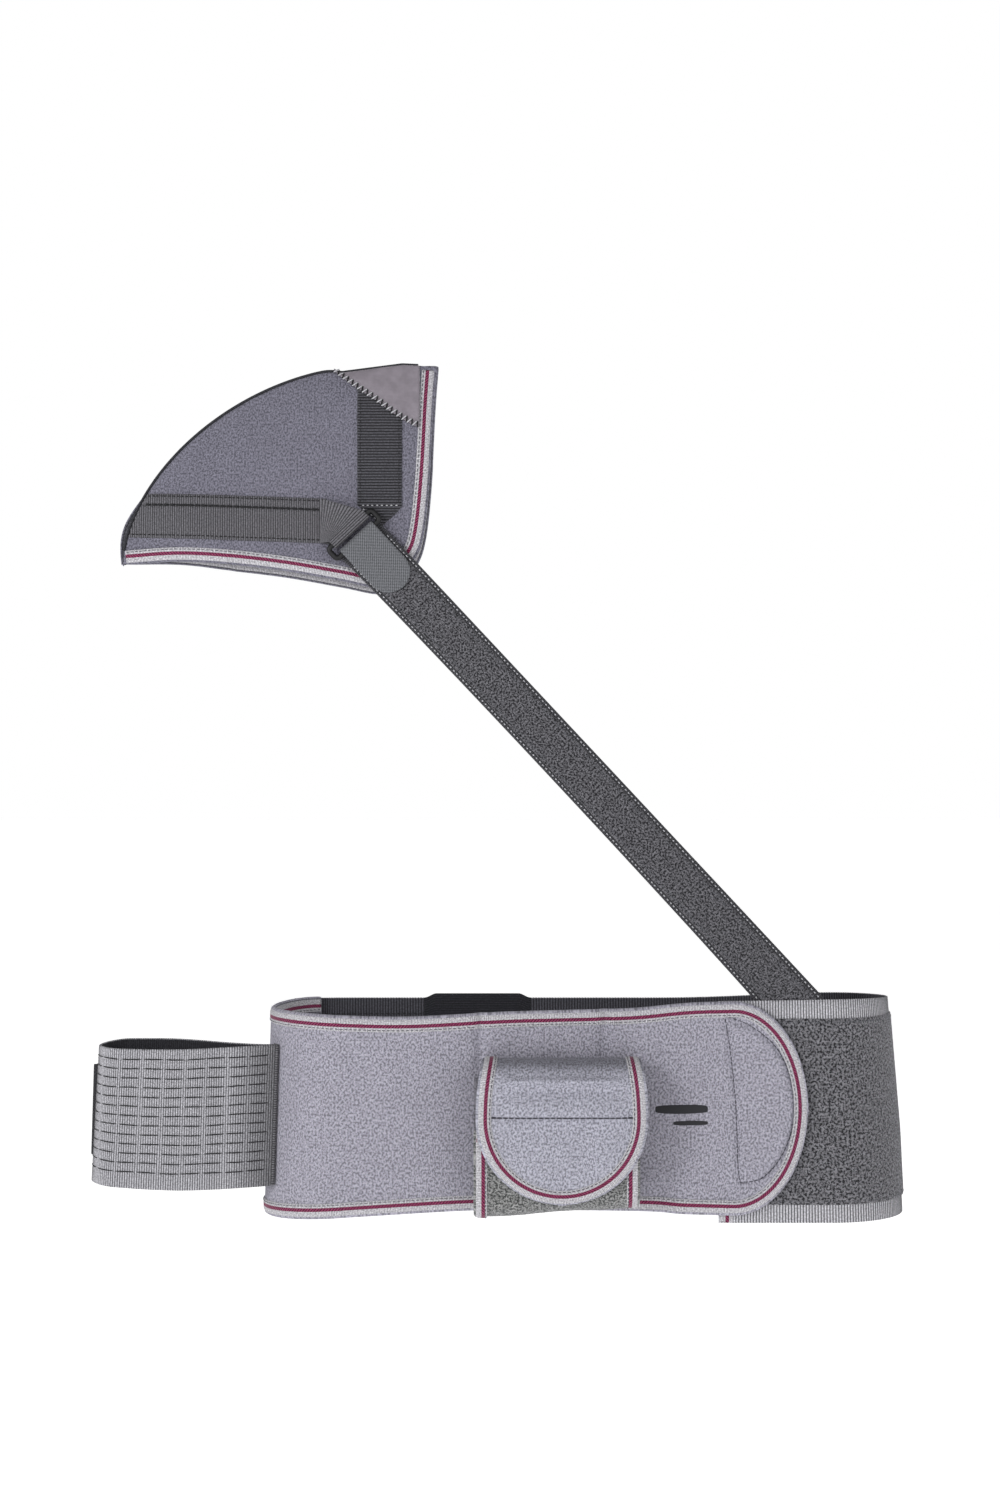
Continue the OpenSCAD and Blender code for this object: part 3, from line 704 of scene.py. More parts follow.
def elastic_point(e, z, depth):
    """A point on the elastic, `depth` inside its outer face, at distance e from its front end."""
    e, z = np.broadcast_arrays(np.asarray(e, float), np.asarray(z, float))
    turn = np.clip((e - E_RIGHT) / RIGHT_R, 0, math.pi)
    back = np.clip(e - E_BACK, 0, RIGHT_X - LEFT_X)
    last = np.clip((e - E_LEFT) / BACK_R, 0, None)
    front = np.minimum(e, E_RIGHT)
    right_side, left_side = e < E_BACK, e > E_LEFT
    nx = np.where(right_side, np.sin(turn), np.where(left_side, -np.sin(last), 0))
    ny = np.where(right_side, -np.cos(turn), np.where(left_side, np.cos(last), 1))
    back_x = np.where(left_side, LEFT_X - BACK_R * np.sin(last), RIGHT_X - back)
    back_y = np.where(left_side, BACK_R * np.cos(last), BACK_R)
    x = np.where(right_side, ELASTIC_X + front + RIGHT_R * np.sin(turn), back_x)
    y = np.where(right_side, RIGHT_Y - RIGHT_R * np.cos(turn), back_y)
    x, y = x - nx * depth, y - ny * depth
    return grid(x + right_lean(x, z) + left_lean(x, z), y, z), grid(nx, ny, 0 * nx)


def elastic_top(e):
    """The elastic's top edge falls towards the back, and rises a little towards the right."""
    at = elastic_point(e, 0, 0)[0]
    back = (at[..., 1] + BELT_R + 1) / (2 * BELT_R + 4)
    return elastic_high[2] - 8.5 * back + ease(at[..., 0], 60, 215) * (1.6 + 2.8 * back)


def back_elastic():
    pitch, relief = ELASTIC_PITCH, 0.12
    e = np.linspace(0, E_END, int(E_END / pitch * 4))[:, None]
    z = elastic_low[2] + (elastic_top(e) - elastic_low[2]) * np.linspace(0, 1, 22)[None]
    rib = relief * np.cos(e * math.tau / pitch)
    outer, _ = elastic_point(e, z, relief - rib)
    inner, _ = elastic_point(e, z, ELASTIC_T - relief + rib)
    band = shell("belt_back_elastic", outer, inner, grid(e, z), [ELASTIC, ELASTIC_IN])
    dress(band, "grey_elastic", "back_elastic", body="belt")
    edge, normal = elastic_point(0, np.linspace(elastic_low[2], elastic_high[2], 90), ELASTIC_T / 2)
    edge_tape("elastic_end_tape", edge, normal, -1, ELASTIC_T, "elastic_end_binding", proud=0.5, body="belt")


def elastic_stitches():
    """Rows along the inside, where the back's stiffener is sewn, and at the join with the laminate."""
    run = np.linspace(E_BACK + 60, E_END - 30, 300)
    rows = []
    for height in (elastic_top(run) - 12, elastic_low[2] + 15):
        line, facing = elastic_point(run, height, ELASTIC_T)
        rows.append((line, -facing))
    sew("inside_stitches", rows, THREAD_BLACK, (3.0, 1.2, 0.35), "grey_elastic", body="belt")
    heights = np.linspace(-66, 56, 60)
    rows = [elastic_point(E_END - back, heights, 0) for back in (3, 7, 32)]
    sew("join_stitches", rows, THREAD_GREY, (2.4, 1.2, 0.3), "grey_elastic", body="belt")


def loop_panel():
    e0, e1 = loop_low[0] - ELASTIC_X, E_RIGHT + RIGHT_R * math.radians(150)
    z0, z1 = loop_low[2], loop_high[2]
    e, z = np.broadcast_arrays(np.linspace(e0, e1, 190)[:, None], np.linspace(z0, z1, 112))
    rim = np.minimum.reduce([e - e0, e1 - e, z - z0, z1 - z])
    pile = random.uniform(-0.14, 0.14, e.shape) + 0.35 * ease(rim, 0, 2.5) - 0.25
    outer, _ = elastic_point(e, z, -1.2 - pile)
    inner, _ = elastic_point(e, z, 0.0)
    panel = shell("belt_loop_panel", outer, inner, grid(e, z), [PILE])
    dress(panel, "loop_pile", "closure_loop_panel", body="belt")
    along = np.linspace(e0 + 4, e1 - 3, 200)
    rows = [elastic_point(along, height, -1.25) for height in (z0 + 2.2, z1 - 2.2)]
    rows.append(elastic_point(e1 - 2.5, np.linspace(z0 + 3, z1 - 3, 90), -1.25))
    sew("loop_panel_stitches", rows, THREAD_GREY, (2.6, 1.3, 0.3), "loop_pile", body="belt")


def plain_patch(name, node, point, counts, thick, material, slot, body, us=None):
    """A patch as wide and high as its CAD node. point(u, v, height) gives a place `height` above a surface."""
    low, high = box_mm(node)
    us = np.linspace(low[0], high[0], counts[0]) if us is None else us
    vs = np.linspace(low[2], high[2], counts[1])
    u, v = np.meshgrid(us, vs, indexing="ij")
    inset = np.minimum.reduce([u - us[0], us[-1] - u, v - vs[0], vs[-1] - v])
    crown = thick * (0.86 + 0.14 * ease(inset, 0, 1.5))
    patch = shell(name, point(u, v, crown), point(u, v, 0 * u), grid(u, v), [material])
    dress(patch, slot, node, body=body)


def grip_patch():
    low, high = box_mm("back_grip_patch")

    def inside_back(u, v, height):
        corner = 1 - ease(np.minimum(u - low[0], high[0] - u), 0, 9)
        v = v - 3.2 * corner * (v - low[2]) / (high[2] - low[2])
        return grid(u, high[1] - height + 0.8 * ease(v, 52, 72), v)

    plain_patch("inside_grip_patch", "back_grip_patch", inside_back, (60, 90), 1.2, GRIP, "dark_webbing",
                body="belt")


def arm_seam_backing():
    us = np.linspace(math.radians(204) * BELT_R, math.radians(213.2) * BELT_R, 30)

    def on_turn(u, v, height):
        angle, r = u / BELT_R, BELT_R + height
        x = LEFT_X + r * np.cos(angle)
        return grid(x + left_lean(x, v), r * np.sin(angle), v)

    plain_patch("arm_seam_backing", "arm_seam_tape", on_turn, (30, 60), 0.8, WEBBING, "dark_webbing",
                body="belt", us=us)


def printed_bars():
    """Two plain bars, each given by its middle and half its width and height."""
    bars = [(69.5, 1.5, 19, 3.2), (76.0, -8.5, 12.5, 1.6)]
    for k, (x0, z0, half_w, half_h) in enumerate(bars):
        t = arc(2, 178, 40)
        z = z0 + (half_h * np.sin(t) ** 0.35)[:, None] * np.linspace(-1, 1, 9)
        x = np.broadcast_to((x0 - half_w * np.cos(t))[:, None], z.shape)
        outer, _ = panel_point(x - LEFT_X, z, -0.12)
        inner, _ = panel_point(x - LEFT_X, z, 0.1)
        bar = shell(f"printed_bar_{k + 1}", outer, inner, grid(x, z), [PRINT])
        dress(bar, "brushed_laminate", body="belt")


# ---- wrist cuff ----

CUFF_T = 3.2
FLAP_X = (flap_low[0] + flap_high[0]) / 2
FLAP_R = (flap_high[0] - flap_low[0]) / 2
FLAP_Z = flap_low[2] + FLAP_R
FLAP_Y = flap_low[1]
FLAP_TOP_HALF = 55.5
BACK_Y = base_high[1]
TOP_R = (BACK_Y - FLAP_Y) / 2
TOP_Z = fold_high[2] - TOP_R
WRAP_Y = wrap_low[1]
FOOT_R = (BACK_Y - WRAP_Y) / 2
FOOT_Z = base_low[2] + FOOT_R
CUFF_X0, CUFF_X1 = base_low[0], base_high[0]
FLAP_BEND = ("belt", "wrist_flap", (FLAP_X, -88, 36), (FLAP_X, -98, 14))
WRAP_BEND = ("belt", "wrist_wrap", (-21, -88, -66), (-21, WRAP_Y, -48))


def flap_half_width(z, over_top):
    """Half the flap's width at height z: round below, nearly straight to the fold, a little wider behind."""
    half = FLAP_TOP_HALF
    chord = np.sqrt(np.maximum(FLAP_R ** 2 - (z - FLAP_Z) ** 2, 0))
    climb = np.clip((z - FLAP_Z) / (TOP_Z + TOP_R - FLAP_Z), 0, 1)
    front = np.where(z > FLAP_Z, FLAP_R - (FLAP_R - half) * climb ** 2.2, chord)
    return np.where(over_top, half + 3 * (1 - (z - TOP_Z) / TOP_R), front)


def flap_surface(s, side, depth):
    """s runs 0 to 1 over the fold from its seam, then 1 to 2 down the front, 2 to 3 round the tip.
    side runs from -1 at the left edge to 1 at the right one."""
    fold = np.clip(s, 0, 1) * math.pi
    z = np.where(s <= 1, TOP_Z + TOP_R * np.sin(fold), 0)
    z = np.where((s > 1) & (s <= 2), TOP_Z + (FLAP_Z - TOP_Z) * (s - 1), z)
    z = np.where(s > 2, FLAP_Z - FLAP_R * np.sin((s - 2) * math.pi / 2), z)
    ny = np.where(s <= 1, np.cos(fold), -1)
    nz = np.where(s <= 1, np.sin(fold), 0)
    y = (BACK_Y + FLAP_Y) / 2 + TOP_R * ny
    x = FLAP_X + side * flap_half_width(z, s < 0.5)
    front = s > 0.6
    puff = 4.0 * ease(z, 0.5, 1.9) * ease(-z, -22, -6) * front
    puff = puff + 1.6 * bump_at(z, -26, 17) - 0.8 * bump_at(z, 0, 2) * (s > 1)
    puff = puff + 3.4 * bump_at(z, 26, 2.4) * front - 0.8 * bump_at(z, 19, 3) * front
    dip = -1.0 * bump_at(x, FLAP_X + 12, 14) * bump_at(z, 36, 10) * (s > 0.5)
    lift = (puff + dip) * ease(1 - side ** 2, 0.3, 0.75) - depth
    return grid(x, y + ny * lift, z + nz * lift), grid(0 * x, ny, nz)


def wrist_flap():
    s = np.r_[np.linspace(0, 1, 50), np.linspace(1, 2, 48)[1:], 2 + np.linspace(0, 0.985, 44)[1:]]
    s, side = np.broadcast_arrays(s[:, None], np.linspace(-1, 1, 84))
    outer, _ = flap_surface(s, side, 0)
    inner, _ = flap_surface(s, side, CUFF_T)
    run = lengths(outer[:, 42])
    # The flap's laminate carries painted shade over the top of its fold.
    flap = shell("wrist_cuff_flap", outer, inner, grid(outer[..., 0], run[:, None]), [FLAP_BRUSHED_SHADED, LINING])
    dress(flap, "brushed_laminate", "wrist_flap", "wrist_top_fold", bend=FLAP_BEND)


def wrist_flap_edge():
    """The tape down the flap's left edge, round its tip and up the right one, and a thick dark thread along
    the flap's crease: painted shadow under the crease's lip.
    """
    down = np.r_[np.linspace(0, 1, 60), np.linspace(1, 2, 30)[1:], 2 + np.linspace(0, 1, 70)[1:]]
    left, left_normal = flap_surface(down, -1, CUFF_T / 2)
    right, right_normal = flap_surface(down, 1, CUFF_T / 2)
    edge = np.vstack([left, right[-2::-1]])
    normal = np.vstack([left_normal, right_normal[-2::-1]])
    edge_tape("wrist_flap_tape", edge, normal, 1, CUFF_T, "wrist_flap_binding", bend=FLAP_BEND)
    rows = tape_seam(edge, normal, 1, TAPE_W - 1.2, CUFF_T, (1, -1))
    sew("wrist_flap_stitches", rows, THREAD_DARK, (2.4, 0.9, 0.32), bend=FLAP_BEND)
    t = np.linspace(-0.84, 0.84, 90)
    crease_s = 1 + (TOP_Z - 0.6) / (TOP_Z - FLAP_Z)
    seam = flap_surface(np.full(90, crease_s), t, 0.1)
    # A thick, nearly unbroken dark thread along the crease: painted shadow of the crease.
    sew("wrist_flap_crease_shadow", [seam], THREAD_DARK, (4.0, 0.2, 0.8), bend=FLAP_BEND)


def wrist_hooks():
    low, high = box_mm("wrist_hook_patch")
    t = arc(0, 87, 40)
    z = high[2] - (high[2] - low[2]) * np.sin(t)
    half = (high[0] - low[0]) / 2 * np.cos(t)
    x = FLAP_X + half[:, None] * np.linspace(-1, 1, 50)
    hook_patch("wrist_flap_hooks", x, z[:, None], "wrist_hook_patch", "wrist_flap")


def wrap_surface(s, x, depth):
    """s runs 0 to 1 round the foot from the belt, and on up the front, one unit for each foot length."""
    foot = np.clip(s, 0, 1) * math.pi
    rise = np.maximum(s - 1, 0) * math.pi * FOOT_R
    ny, nz = np.where(s <= 1, np.cos(foot), -1), np.where(s <= 1, -np.sin(foot), 0)
    y = (BACK_Y + WRAP_Y) / 2 + FOOT_R * ny
    z = FOOT_Z + FOOT_R * nz + rise
    tilt = 0.065 * (x - CUFF_X0) * ease(-z, 25, 60)
    wave = 0.5 * np.sin(x / 11) * ease(s, 0.2, 0.6) * ease(-z, 15, 40)
    return grid(x, y + ny * (wave - depth), z + tilt + nz * (wave - depth)), grid(0 * x, ny, nz)


WRAP_TOP = 1 + (wrap_high[2] - FOOT_Z) / (math.pi * FOOT_R)
WRAP_TAPE_W = 8.5


def wrist_wrap():
    s, x = np.broadcast_arrays(np.linspace(0, WRAP_TOP, 84)[:, None], np.linspace(CUFF_X0, CUFF_X1, 98))
    inset = np.minimum(x - CUFF_X0, CUFF_X1 - x)
    pile = random.uniform(-0.12, 0.12, s.shape) * ease(inset, 2, 8) - 0.1
    outer, _ = wrap_surface(s, x, -pile)
    inner, _ = wrap_surface(s, x, CUFF_T)
    wrap = shell("wrist_cuff_wrap", outer, inner, grid(x, s * math.pi * FOOT_R), [VELOUR, LINING])
    dress(wrap, "loop_pile", "wrist_wrap", bend=WRAP_BEND)


def wrist_wrap_edges():
    run = np.linspace(0, WRAP_TOP, 110)
    rows = []
    for name, x0, sign in (("left", CUFF_X0, -1), ("right", CUFF_X1, 1)):
        edge, normal = wrap_surface(run, np.full(110, x0), CUFF_T / 2)
        edge_tape(f"wrist_wrap_tape_{name}", edge, normal, sign, CUFF_T, f"wrist_wrap_binding_{name}",
                  f"wrist_base_binding_{name}", width=WRAP_TAPE_W, bend=WRAP_BEND)
        rows += tape_seam(edge, normal, sign, WRAP_TAPE_W - 1.1, CUFF_T)
    sew("wrist_wrap_stitches", rows, THREAD_GREY, FINE, bend=WRAP_BEND)
    ends = np.linspace(CUFF_X0 + 1, CUFF_X1 - 1, 90)
    edge, normal = wrap_surface(np.full(90, WRAP_TOP), ends, CUFF_T / 2)
    edge_tape("wrist_wrap_end_tape", edge, normal, -1, CUFF_T, "wrist_wrap_end_binding", width=WRAP_TAPE_W,
              proud=0.5, body="wrist_wrap")


def wrist_base():
    across, heights = np.linspace(CUFF_X0, CUFF_X1, 70), np.linspace(FOOT_Z - 1, TOP_Z + 1, 54)
    x, z = np.meshgrid(across, heights, indexing="ij")
    outer = grid(x, BACK_Y - CUFF_T, z)
    base = shell("wrist_cuff_base", outer, grid(x, BACK_Y, z), grid(x, z), [LINING, BRUSHED])
    dress(base, "brushed_laminate", "wrist_base", body="belt")
    heights = np.linspace(FOOT_Z + 2, TOP_Z - 2, 60)
    facing = np.tile(FORWARD, (60, 1))
    rows = [(grid(x0, BACK_Y - CUFF_T, heights), facing) for x0 in (CUFF_X0 + 4, CUFF_X1 - 4)]
    sew("wrist_base_stitches", rows, THREAD_GREY, body="belt")


# ---- upper-arm cuff ----

ARM_T = 2.0
ARM_TOP, ARM_BOTTOM = cuff_high[2], cuff_low[2]
TURN_R = 21
TURN_X = cuff_low[0] + TURN_R
TURN_Y = -33.06
SEAM = np.array([-227.98, -35.06])
ARM_PITCH, ARM_RIB = 1.6, 0.14     # from rib to rib, and how far a rib stands out
ARM_SEAMS = 0.115 + 0.817 * np.arange(13) / 12    # heights of the rows of stitches, as parts of the loop's


def arm_path(n):
    """The loop seen from above, from its seam along the front, round the far end and back."""
    angles = arc(270, 90, 9)
    turn = grid(TURN_X + TURN_R * np.cos(angles), TURN_Y + TURN_R * np.sin(angles))
    front = SEAM + [(-1.5, -1.6), (-16, -5.6), (-34, -10.4), (-62, -17.4), (-86, -18.9)]
    back = SEAM + [(-84, 22.8), (-62, 19.0), (-34, 9.6), (-16, 3.6), (-1.5, 1.4)]
    return curve_through(np.vstack([front, turn, back]), n)


def arm_surface(path, normal, t, v, depth):
    """t is 0 to 1 round the loop and v 0 to 1 up it."""
    sag = np.sin(math.pi * np.clip(t * 2, 0, 1))
    low = ARM_BOTTOM - 1.7 * sag + 4.2 * np.clip(1 - np.abs(2 * t - 1) ** 1.5, 0, 1) ** 3
    high = ARM_TOP - 1.8 * sag + 2.0 * ease(t, 0.5, 0.62) * ease(-t, -0.98, -0.7)
    z = low + (high - low) * v
    out = 1 - np.abs(2 * t - 1) ** 1.5
    lean = -4.5 * out * (1 - v) + 1.0 * out * v
    x = path[..., 0] - normal[..., 0] * depth
    x = x + lean + left_lean(x, z) * ease(x, -270, -228)
    return grid(x, path[..., 1] - normal[..., 1] * depth, z)


def arm_loop_line():
    """The loop's path in columns three to a rib, its outward directions, and its length."""
    length = lengths(arm_path(400))[-1]
    path = arm_path(int(length / ARM_PITCH * 3))
    along = unit(np.gradient(path, axis=0))
    normal = grid(along[:, 1], -along[:, 0])
    middle = len(path) // 2
    if (normal[middle] * (path[middle] - path.mean(0))).sum() < 0:
        normal = -normal
    return path, normal, length


def arm_cuff():
    path, normal, length = arm_loop_line()
    height = ARM_TOP - ARM_BOTTOM
    t = np.linspace(0, 1, len(path))
    tt, vv = np.meshgrid(t, np.linspace(0, 1, 86), indexing="ij")
    groove = 0.3 * sum(np.exp(-((vv - r) * height / 1.0) ** 2) for r in ARM_SEAMS)
    rib = ARM_RIB * np.cos(tt * length * math.tau / ARM_PITCH)
    outer = arm_surface(path[:, None], normal[:, None], tt, vv, ARM_RIB - rib + groove)
    inner = arm_surface(path[:, None], normal[:, None], tt, vv, ARM_T - groove * 0.5)
    # The loop's outer face carries painted shade next to the seam where the loop starts.
    loop = shell("arm_cuff_loop", outer, inner, grid(tt * length, vv * height), [ARM_ELASTIC, ARM_INSIDE])
    dress(loop, "ribbed_arm_elastic", "arm_cuff_elastic", body="arm_cuff")
    coarse = np.linspace(0.012, 0.988, 300)
    p, q = columns_at(coarse, t, path), columns_at(coarse, t, normal)
    facing = np.hstack([q, np.zeros((300, 1))])
    rows = []
    for r in ARM_SEAMS:
        wander = r + 0.0022 * np.sin(coarse * 40 + 9 * r)
        rows.append((arm_surface(p, q, coarse, wander, 0.22), facing))
    sew("arm_cuff_stitches", rows, THREAD_BLACK, (14.0, 1.1, 0.42, 0.2, 0.9), "ribbed_arm_elastic",
        body="arm_cuff")


def arm_seam_roll():
    zs = np.linspace(ARM_BOTTOM, ARM_TOP, 70)
    centre = grid(SEAM[0] + left_lean(SEAM[0], zs), SEAM[1], zs)
    side, up = np.tile([1.0, 0, 0], (70, 1)), np.tile([0, 1.0, 0], (70, 1))
    # The roll takes the darker copy of the elastic, painted shade at the seam.
    fold = sweep("arm_seam_roll", centre, side, up, round_section(1.25, 1.25), [ARM_FOLD_SHADED])
    dress(fold, "ribbed_arm_elastic", "arm_seam_fold", body="arm_cuff")


def arm_loop_square():
    low, _ = box_mm("arm_loop_patch")

    def on_back(u, v, height):
        return grid(u, low[1] + height, v)

    plain_patch("arm_loop_square", "arm_loop_patch", on_back, (24, 60), 0.9, PILE, "loop_pile",
                body="arm_cuff")


def arm_closing_tab():
    low, high = box_mm("arm_hook_tab")

    def on_tab(u, v, height):
        reach = ease(high[0] - u, 6, 46)
        lean = -0.03 * (ARM_TOP - v) * reach
        return grid(u + lean + 2.6 * reach, low[1] + height - 1.2 * reach ** 2, v)

    plain_patch("arm_closing_tab", "arm_hook_tab", on_tab, (46, 60), 1.6, HOOK_DARK, "dark_hook_tape",
                body="arm_tab")


# ---- diagonal strap ----

FALL, LEAN = math.radians(47), math.radians(3.74)
RING_AT = np.array([-165.0, -23.0, 415.0])
BAR_GAP, BAR_R, BORE_R = 10.0, 2.0, 2.3
DOWN = np.array([math.cos(LEAN) * math.cos(FALL), -math.sin(LEAN), -math.cos(LEAN) * math.sin(FALL)])
BEHIND = np.array([math.sin(LEAN) * math.cos(FALL), math.cos(LEAN), -math.sin(LEAN) * math.sin(FALL)])
ACROSS = np.array([math.sin(FALL), 0, math.cos(FALL)])
DOWN_FLAT = np.array([math.cos(FALL), 0, -math.sin(FALL)])
STRAP_W, STRAP_T = 38.0, 1.6
HINGE_Z = 78.5
HINGE_RUN = (RING_AT[2] - HINGE_Z) / (math.cos(LEAN) * math.sin(FALL))
ANCHOR_Z = 36
STRAP_RUN = HINGE_RUN + (HINGE_Z - ANCHOR_Z) / math.sin(FALL)
STRAP_BEND = ("belt", "strap", (149, -52, 70), (149, -52, 98))


def strap_point(a, b, v):
    """a along the strap from the ring's near bar, b towards the wearer, v across.
    The strap turns upright inside the belt."""
    a, b, v = (k[..., None] for k in np.broadcast_arrays(np.asarray(a, float), b, v))
    above, below = np.minimum(a, HINGE_RUN), np.maximum(a - HINGE_RUN, 0)
    turned = ease(a, HINGE_RUN - 12, HINGE_RUN + 4)
    behind = BEHIND * (1 - turned) + np.array([0, 1, 0]) * turned
    sag = -1.6 * np.sin(math.pi * np.clip(a / HINGE_RUN, 0, 1))
    p = RING_AT + DOWN * above + DOWN_FLAT * below + behind * (b + sag) + ACROSS * v
    inner_r = RIGHT_R - ELASTIC_T
    out = np.clip(p[..., 0] - RIGHT_X, 0, inner_r * 0.9)
    p[..., 1] += inner_r - np.sqrt(inner_r ** 2 - out ** 2)
    p[..., 0] += right_lean(p[..., 0], p[..., 2]) * ease(-p[..., 2], -84, -70)
    return p


def strap_narrowing(a, v):
    """The strap is pulled narrower in the middle of its run, and drawn over to one side."""
    pulled = np.sin(math.pi * np.clip(a / HINGE_RUN, 0, 1)) ** 0.5
    return v * (1 - 0.075 * pulled) + 1.6 * pulled


TAPE_HALF, PILE_T = 15, 1.4        # half the width and the thickness of the loop tape on the strap


def strap():
    half = STRAP_W / 2
    along, across = np.linspace(1.0, STRAP_RUN, int(STRAP_RUN / 0.55)), np.linspace(-half, half, 26)
    a, v = np.meshgrid(along, across, indexing="ij")
    rib = 0.1 * np.cos(a * math.tau / STRAP_PITCH) * ease(half - np.abs(v), 0, 1.5)
    v = strap_narrowing(a, v)
    front, back = strap_point(a, BORE_R + 0.1 - rib, v), strap_point(a, BORE_R + STRAP_T - 0.1 + rib, v)
    web = shell("strap_web", front, back, grid(a, v), [STRAP_WEB])
    dress(web, "dark_webbing", "strap_webbing", "strap_anchor", bend=STRAP_BEND)


def strap_tape():
    along, across = np.linspace(9, HINGE_RUN + 30, 380), np.linspace(-TAPE_HALF, TAPE_HALF, 30)
    a, v = np.meshgrid(along, across, indexing="ij")
    pile = random.uniform(-0.12, 0.12, a.shape) + 0.3 * ease(TAPE_HALF - np.abs(v), 0, 2) - 0.3
    place = grid(a, v)
    v = strap_narrowing(a, v)
    front = strap_point(a, BORE_R - PILE_T - pile, v)
    tape = shell("strap_pile_tape", front, strap_point(a, BORE_R, v), place, [STRAP_PILE])
    dress(tape, "loop_pile", "strap_loop_tape", bend=STRAP_BEND)


def strap_stitches():
    run = np.linspace(11, HINGE_RUN + 28, 400)
    facing = np.tile(-BEHIND, (400, 1))

    def rows(from_middle, level):
        places = [strap_narrowing(run, side * from_middle) for side in (-1, 1)]
        return [(strap_point(run, level, v), facing) for v in places]

    both = rows(TAPE_HALF - 2.2, BORE_R - 1.45)
    sew("strap_tape_stitches", both, THREAD_GREY, (2.6, 1.0, 0.26), "loop_pile", bend=STRAP_BEND)
    both = rows(STRAP_W / 2 - 1.8, BORE_R - 0.02)
    sew("strap_edge_stitches", both, THREAD_PALE, (1.7, 1.7, 0.42), "dark_webbing", bend=STRAP_BEND)


def strap_tab():
    """The tongue that turns round the ring's near bar and lies on the strap."""
    t_end, half = 48.0, 15.5
    turn = arc(90, 270, 26)
    r = BORE_R + STRAP_T / 2
    back = grid(np.linspace(5, 0.4, 6), r + 0.2)
    bend = grid(r * np.cos(turn), r * np.sin(turn))
    level = BORE_R - PILE_T - 0.3 - STRAP_T / 2
    front_a = np.linspace(1, t_end, 70)
    path = np.vstack([back, bend, grid(front_a, -r + (level + r) * ease(front_a, 1, 17))])
    along = unit(np.gradient(path, axis=0))
    normal = grid(-along[:, 1], along[:, 0])
    if normal[-1, 1] > 0:
        normal = -normal
    on_front = np.arange(len(path)) >= len(back) + len(bend)
    past = path[:, 0] - (t_end - half)
    width = np.where(on_front & (past > 0), np.sqrt(np.maximum(half ** 2 - past ** 2, 1.5)), half)[:, None]
    v = np.linspace(-1, 1, 34) * width
    (a, b), (na, nb) = path.T[:, :, None], normal.T[:, :, None]
    h = STRAP_T / 2
    crown = h * (0.75 + 0.25 * ease(width - np.abs(v), 0, 1.2))
    outer, inner = strap_point(a + na * crown, b + nb * crown, v), strap_point(a - na * h, b - nb * h, v)
    run = lengths(path)
    tab = shell("strap_tongue", outer, inner, grid(run[:, None], v), [HOOK])
    start, end = (tuple(RING_AT + DOWN * reach - BEHIND * r) for reach in (1.0, 6.0))
    dress(tab, "hook_tape", "strap_hook_tab", bend=("strap", "strap_tab", start, end))


def ring_outline():
    """Places (along the strap, across it) round the ring's rounded rectangle."""
    half_v, corner = 21.6, 2.6
    near_a, far_a, side_v = -corner, corner - BAR_GAP, half_v - corner
    rim = []
    for k, (ca, cv) in enumerate(((near_a, side_v), (far_a, side_v), (far_a, -side_v), (near_a, -side_v))):
        turn = arc(0, 90, 7) + k * math.pi / 2
        rim.append(grid(ca + corner * np.cos(turn), cv + corner * np.sin(turn)))
    rim = np.vstack(rim)
    sides = zip(rim, np.roll(rim, -1, 0))
    return np.vstack([np.linspace(p, q, 9)[:-1] if np.linalg.norm(q - p) > 4 else [p] for p, q in sides])


def ring():
    rim = ring_outline()
    centre = RING_AT + DOWN_FLAT * rim[:, 0:1] + ACROSS * rim[:, 1:2]
    along = unit(np.roll(centre, -1, 0) - np.roll(centre, 1, 0))
    up = np.tile(FORWARD, (len(centre), 1))
    section = round_section(BAR_R, BAR_R, 16)
    loop = sweep("adjuster_ring", centre, unit(np.cross(along, up)), up, section, [RING], closed=True)
    dress(loop, "ring_plastic", "strap_ring", body="ring")


# ---- shoulder cap ----

CAP_X, CAP_Z = -165.0, 398.0
CAP_A, CAP_B = 176.0, 146.0
CAP_POWER = 2 / 1.75
CAP_FRONT_Y, CAP_BACK_Y = cap_low[1], back_top[1]
SEAM_Y = -2.0
WEB_T = 1.4
OPEN_EDGE = [(-341, 398), (-300, 400), (-262, 398), (-220, 393), (-180, 386), (-152, 381), (-137, 388),
             (-125, 402), (-118.5, 419), (-114, 458), (-111, 515), (-109, 544)]
EDGE_N = 260


def cap_curve(n, grow=0.0):
    """n points (x, z) along the cap's curved seam, from the lower left to the top."""
    t = arc(0, 84, 60)
    x = CAP_X - (CAP_A + grow) * np.cos(t) ** CAP_POWER
    z = CAP_Z + (CAP_B + grow) * np.sin(t) ** CAP_POWER
    points = np.vstack([grid(x, z), [(-134, 546 + grow), (-122, 545.5 + grow)]])
    points[:, 1] -= 3.0 * bump_at(points[:, 0], -176, 9)
    return resample(points, n)


def open_edge(n, dx=0.0, dz=0.0):
    """n points (x, z) along the cap's open edge, pushed right and up by dx and dz."""
    pts = np.array(OPEN_EDGE, float)
    low = ease(-pts[:, 1], -430, -396) * ease(pts[:, 0], -335, -250)
    pts[:, 0] += dx * ease(pts[:, 0], -200, -130)
    pts[:, 1] += dz * low
    return curve_through(pts, n)


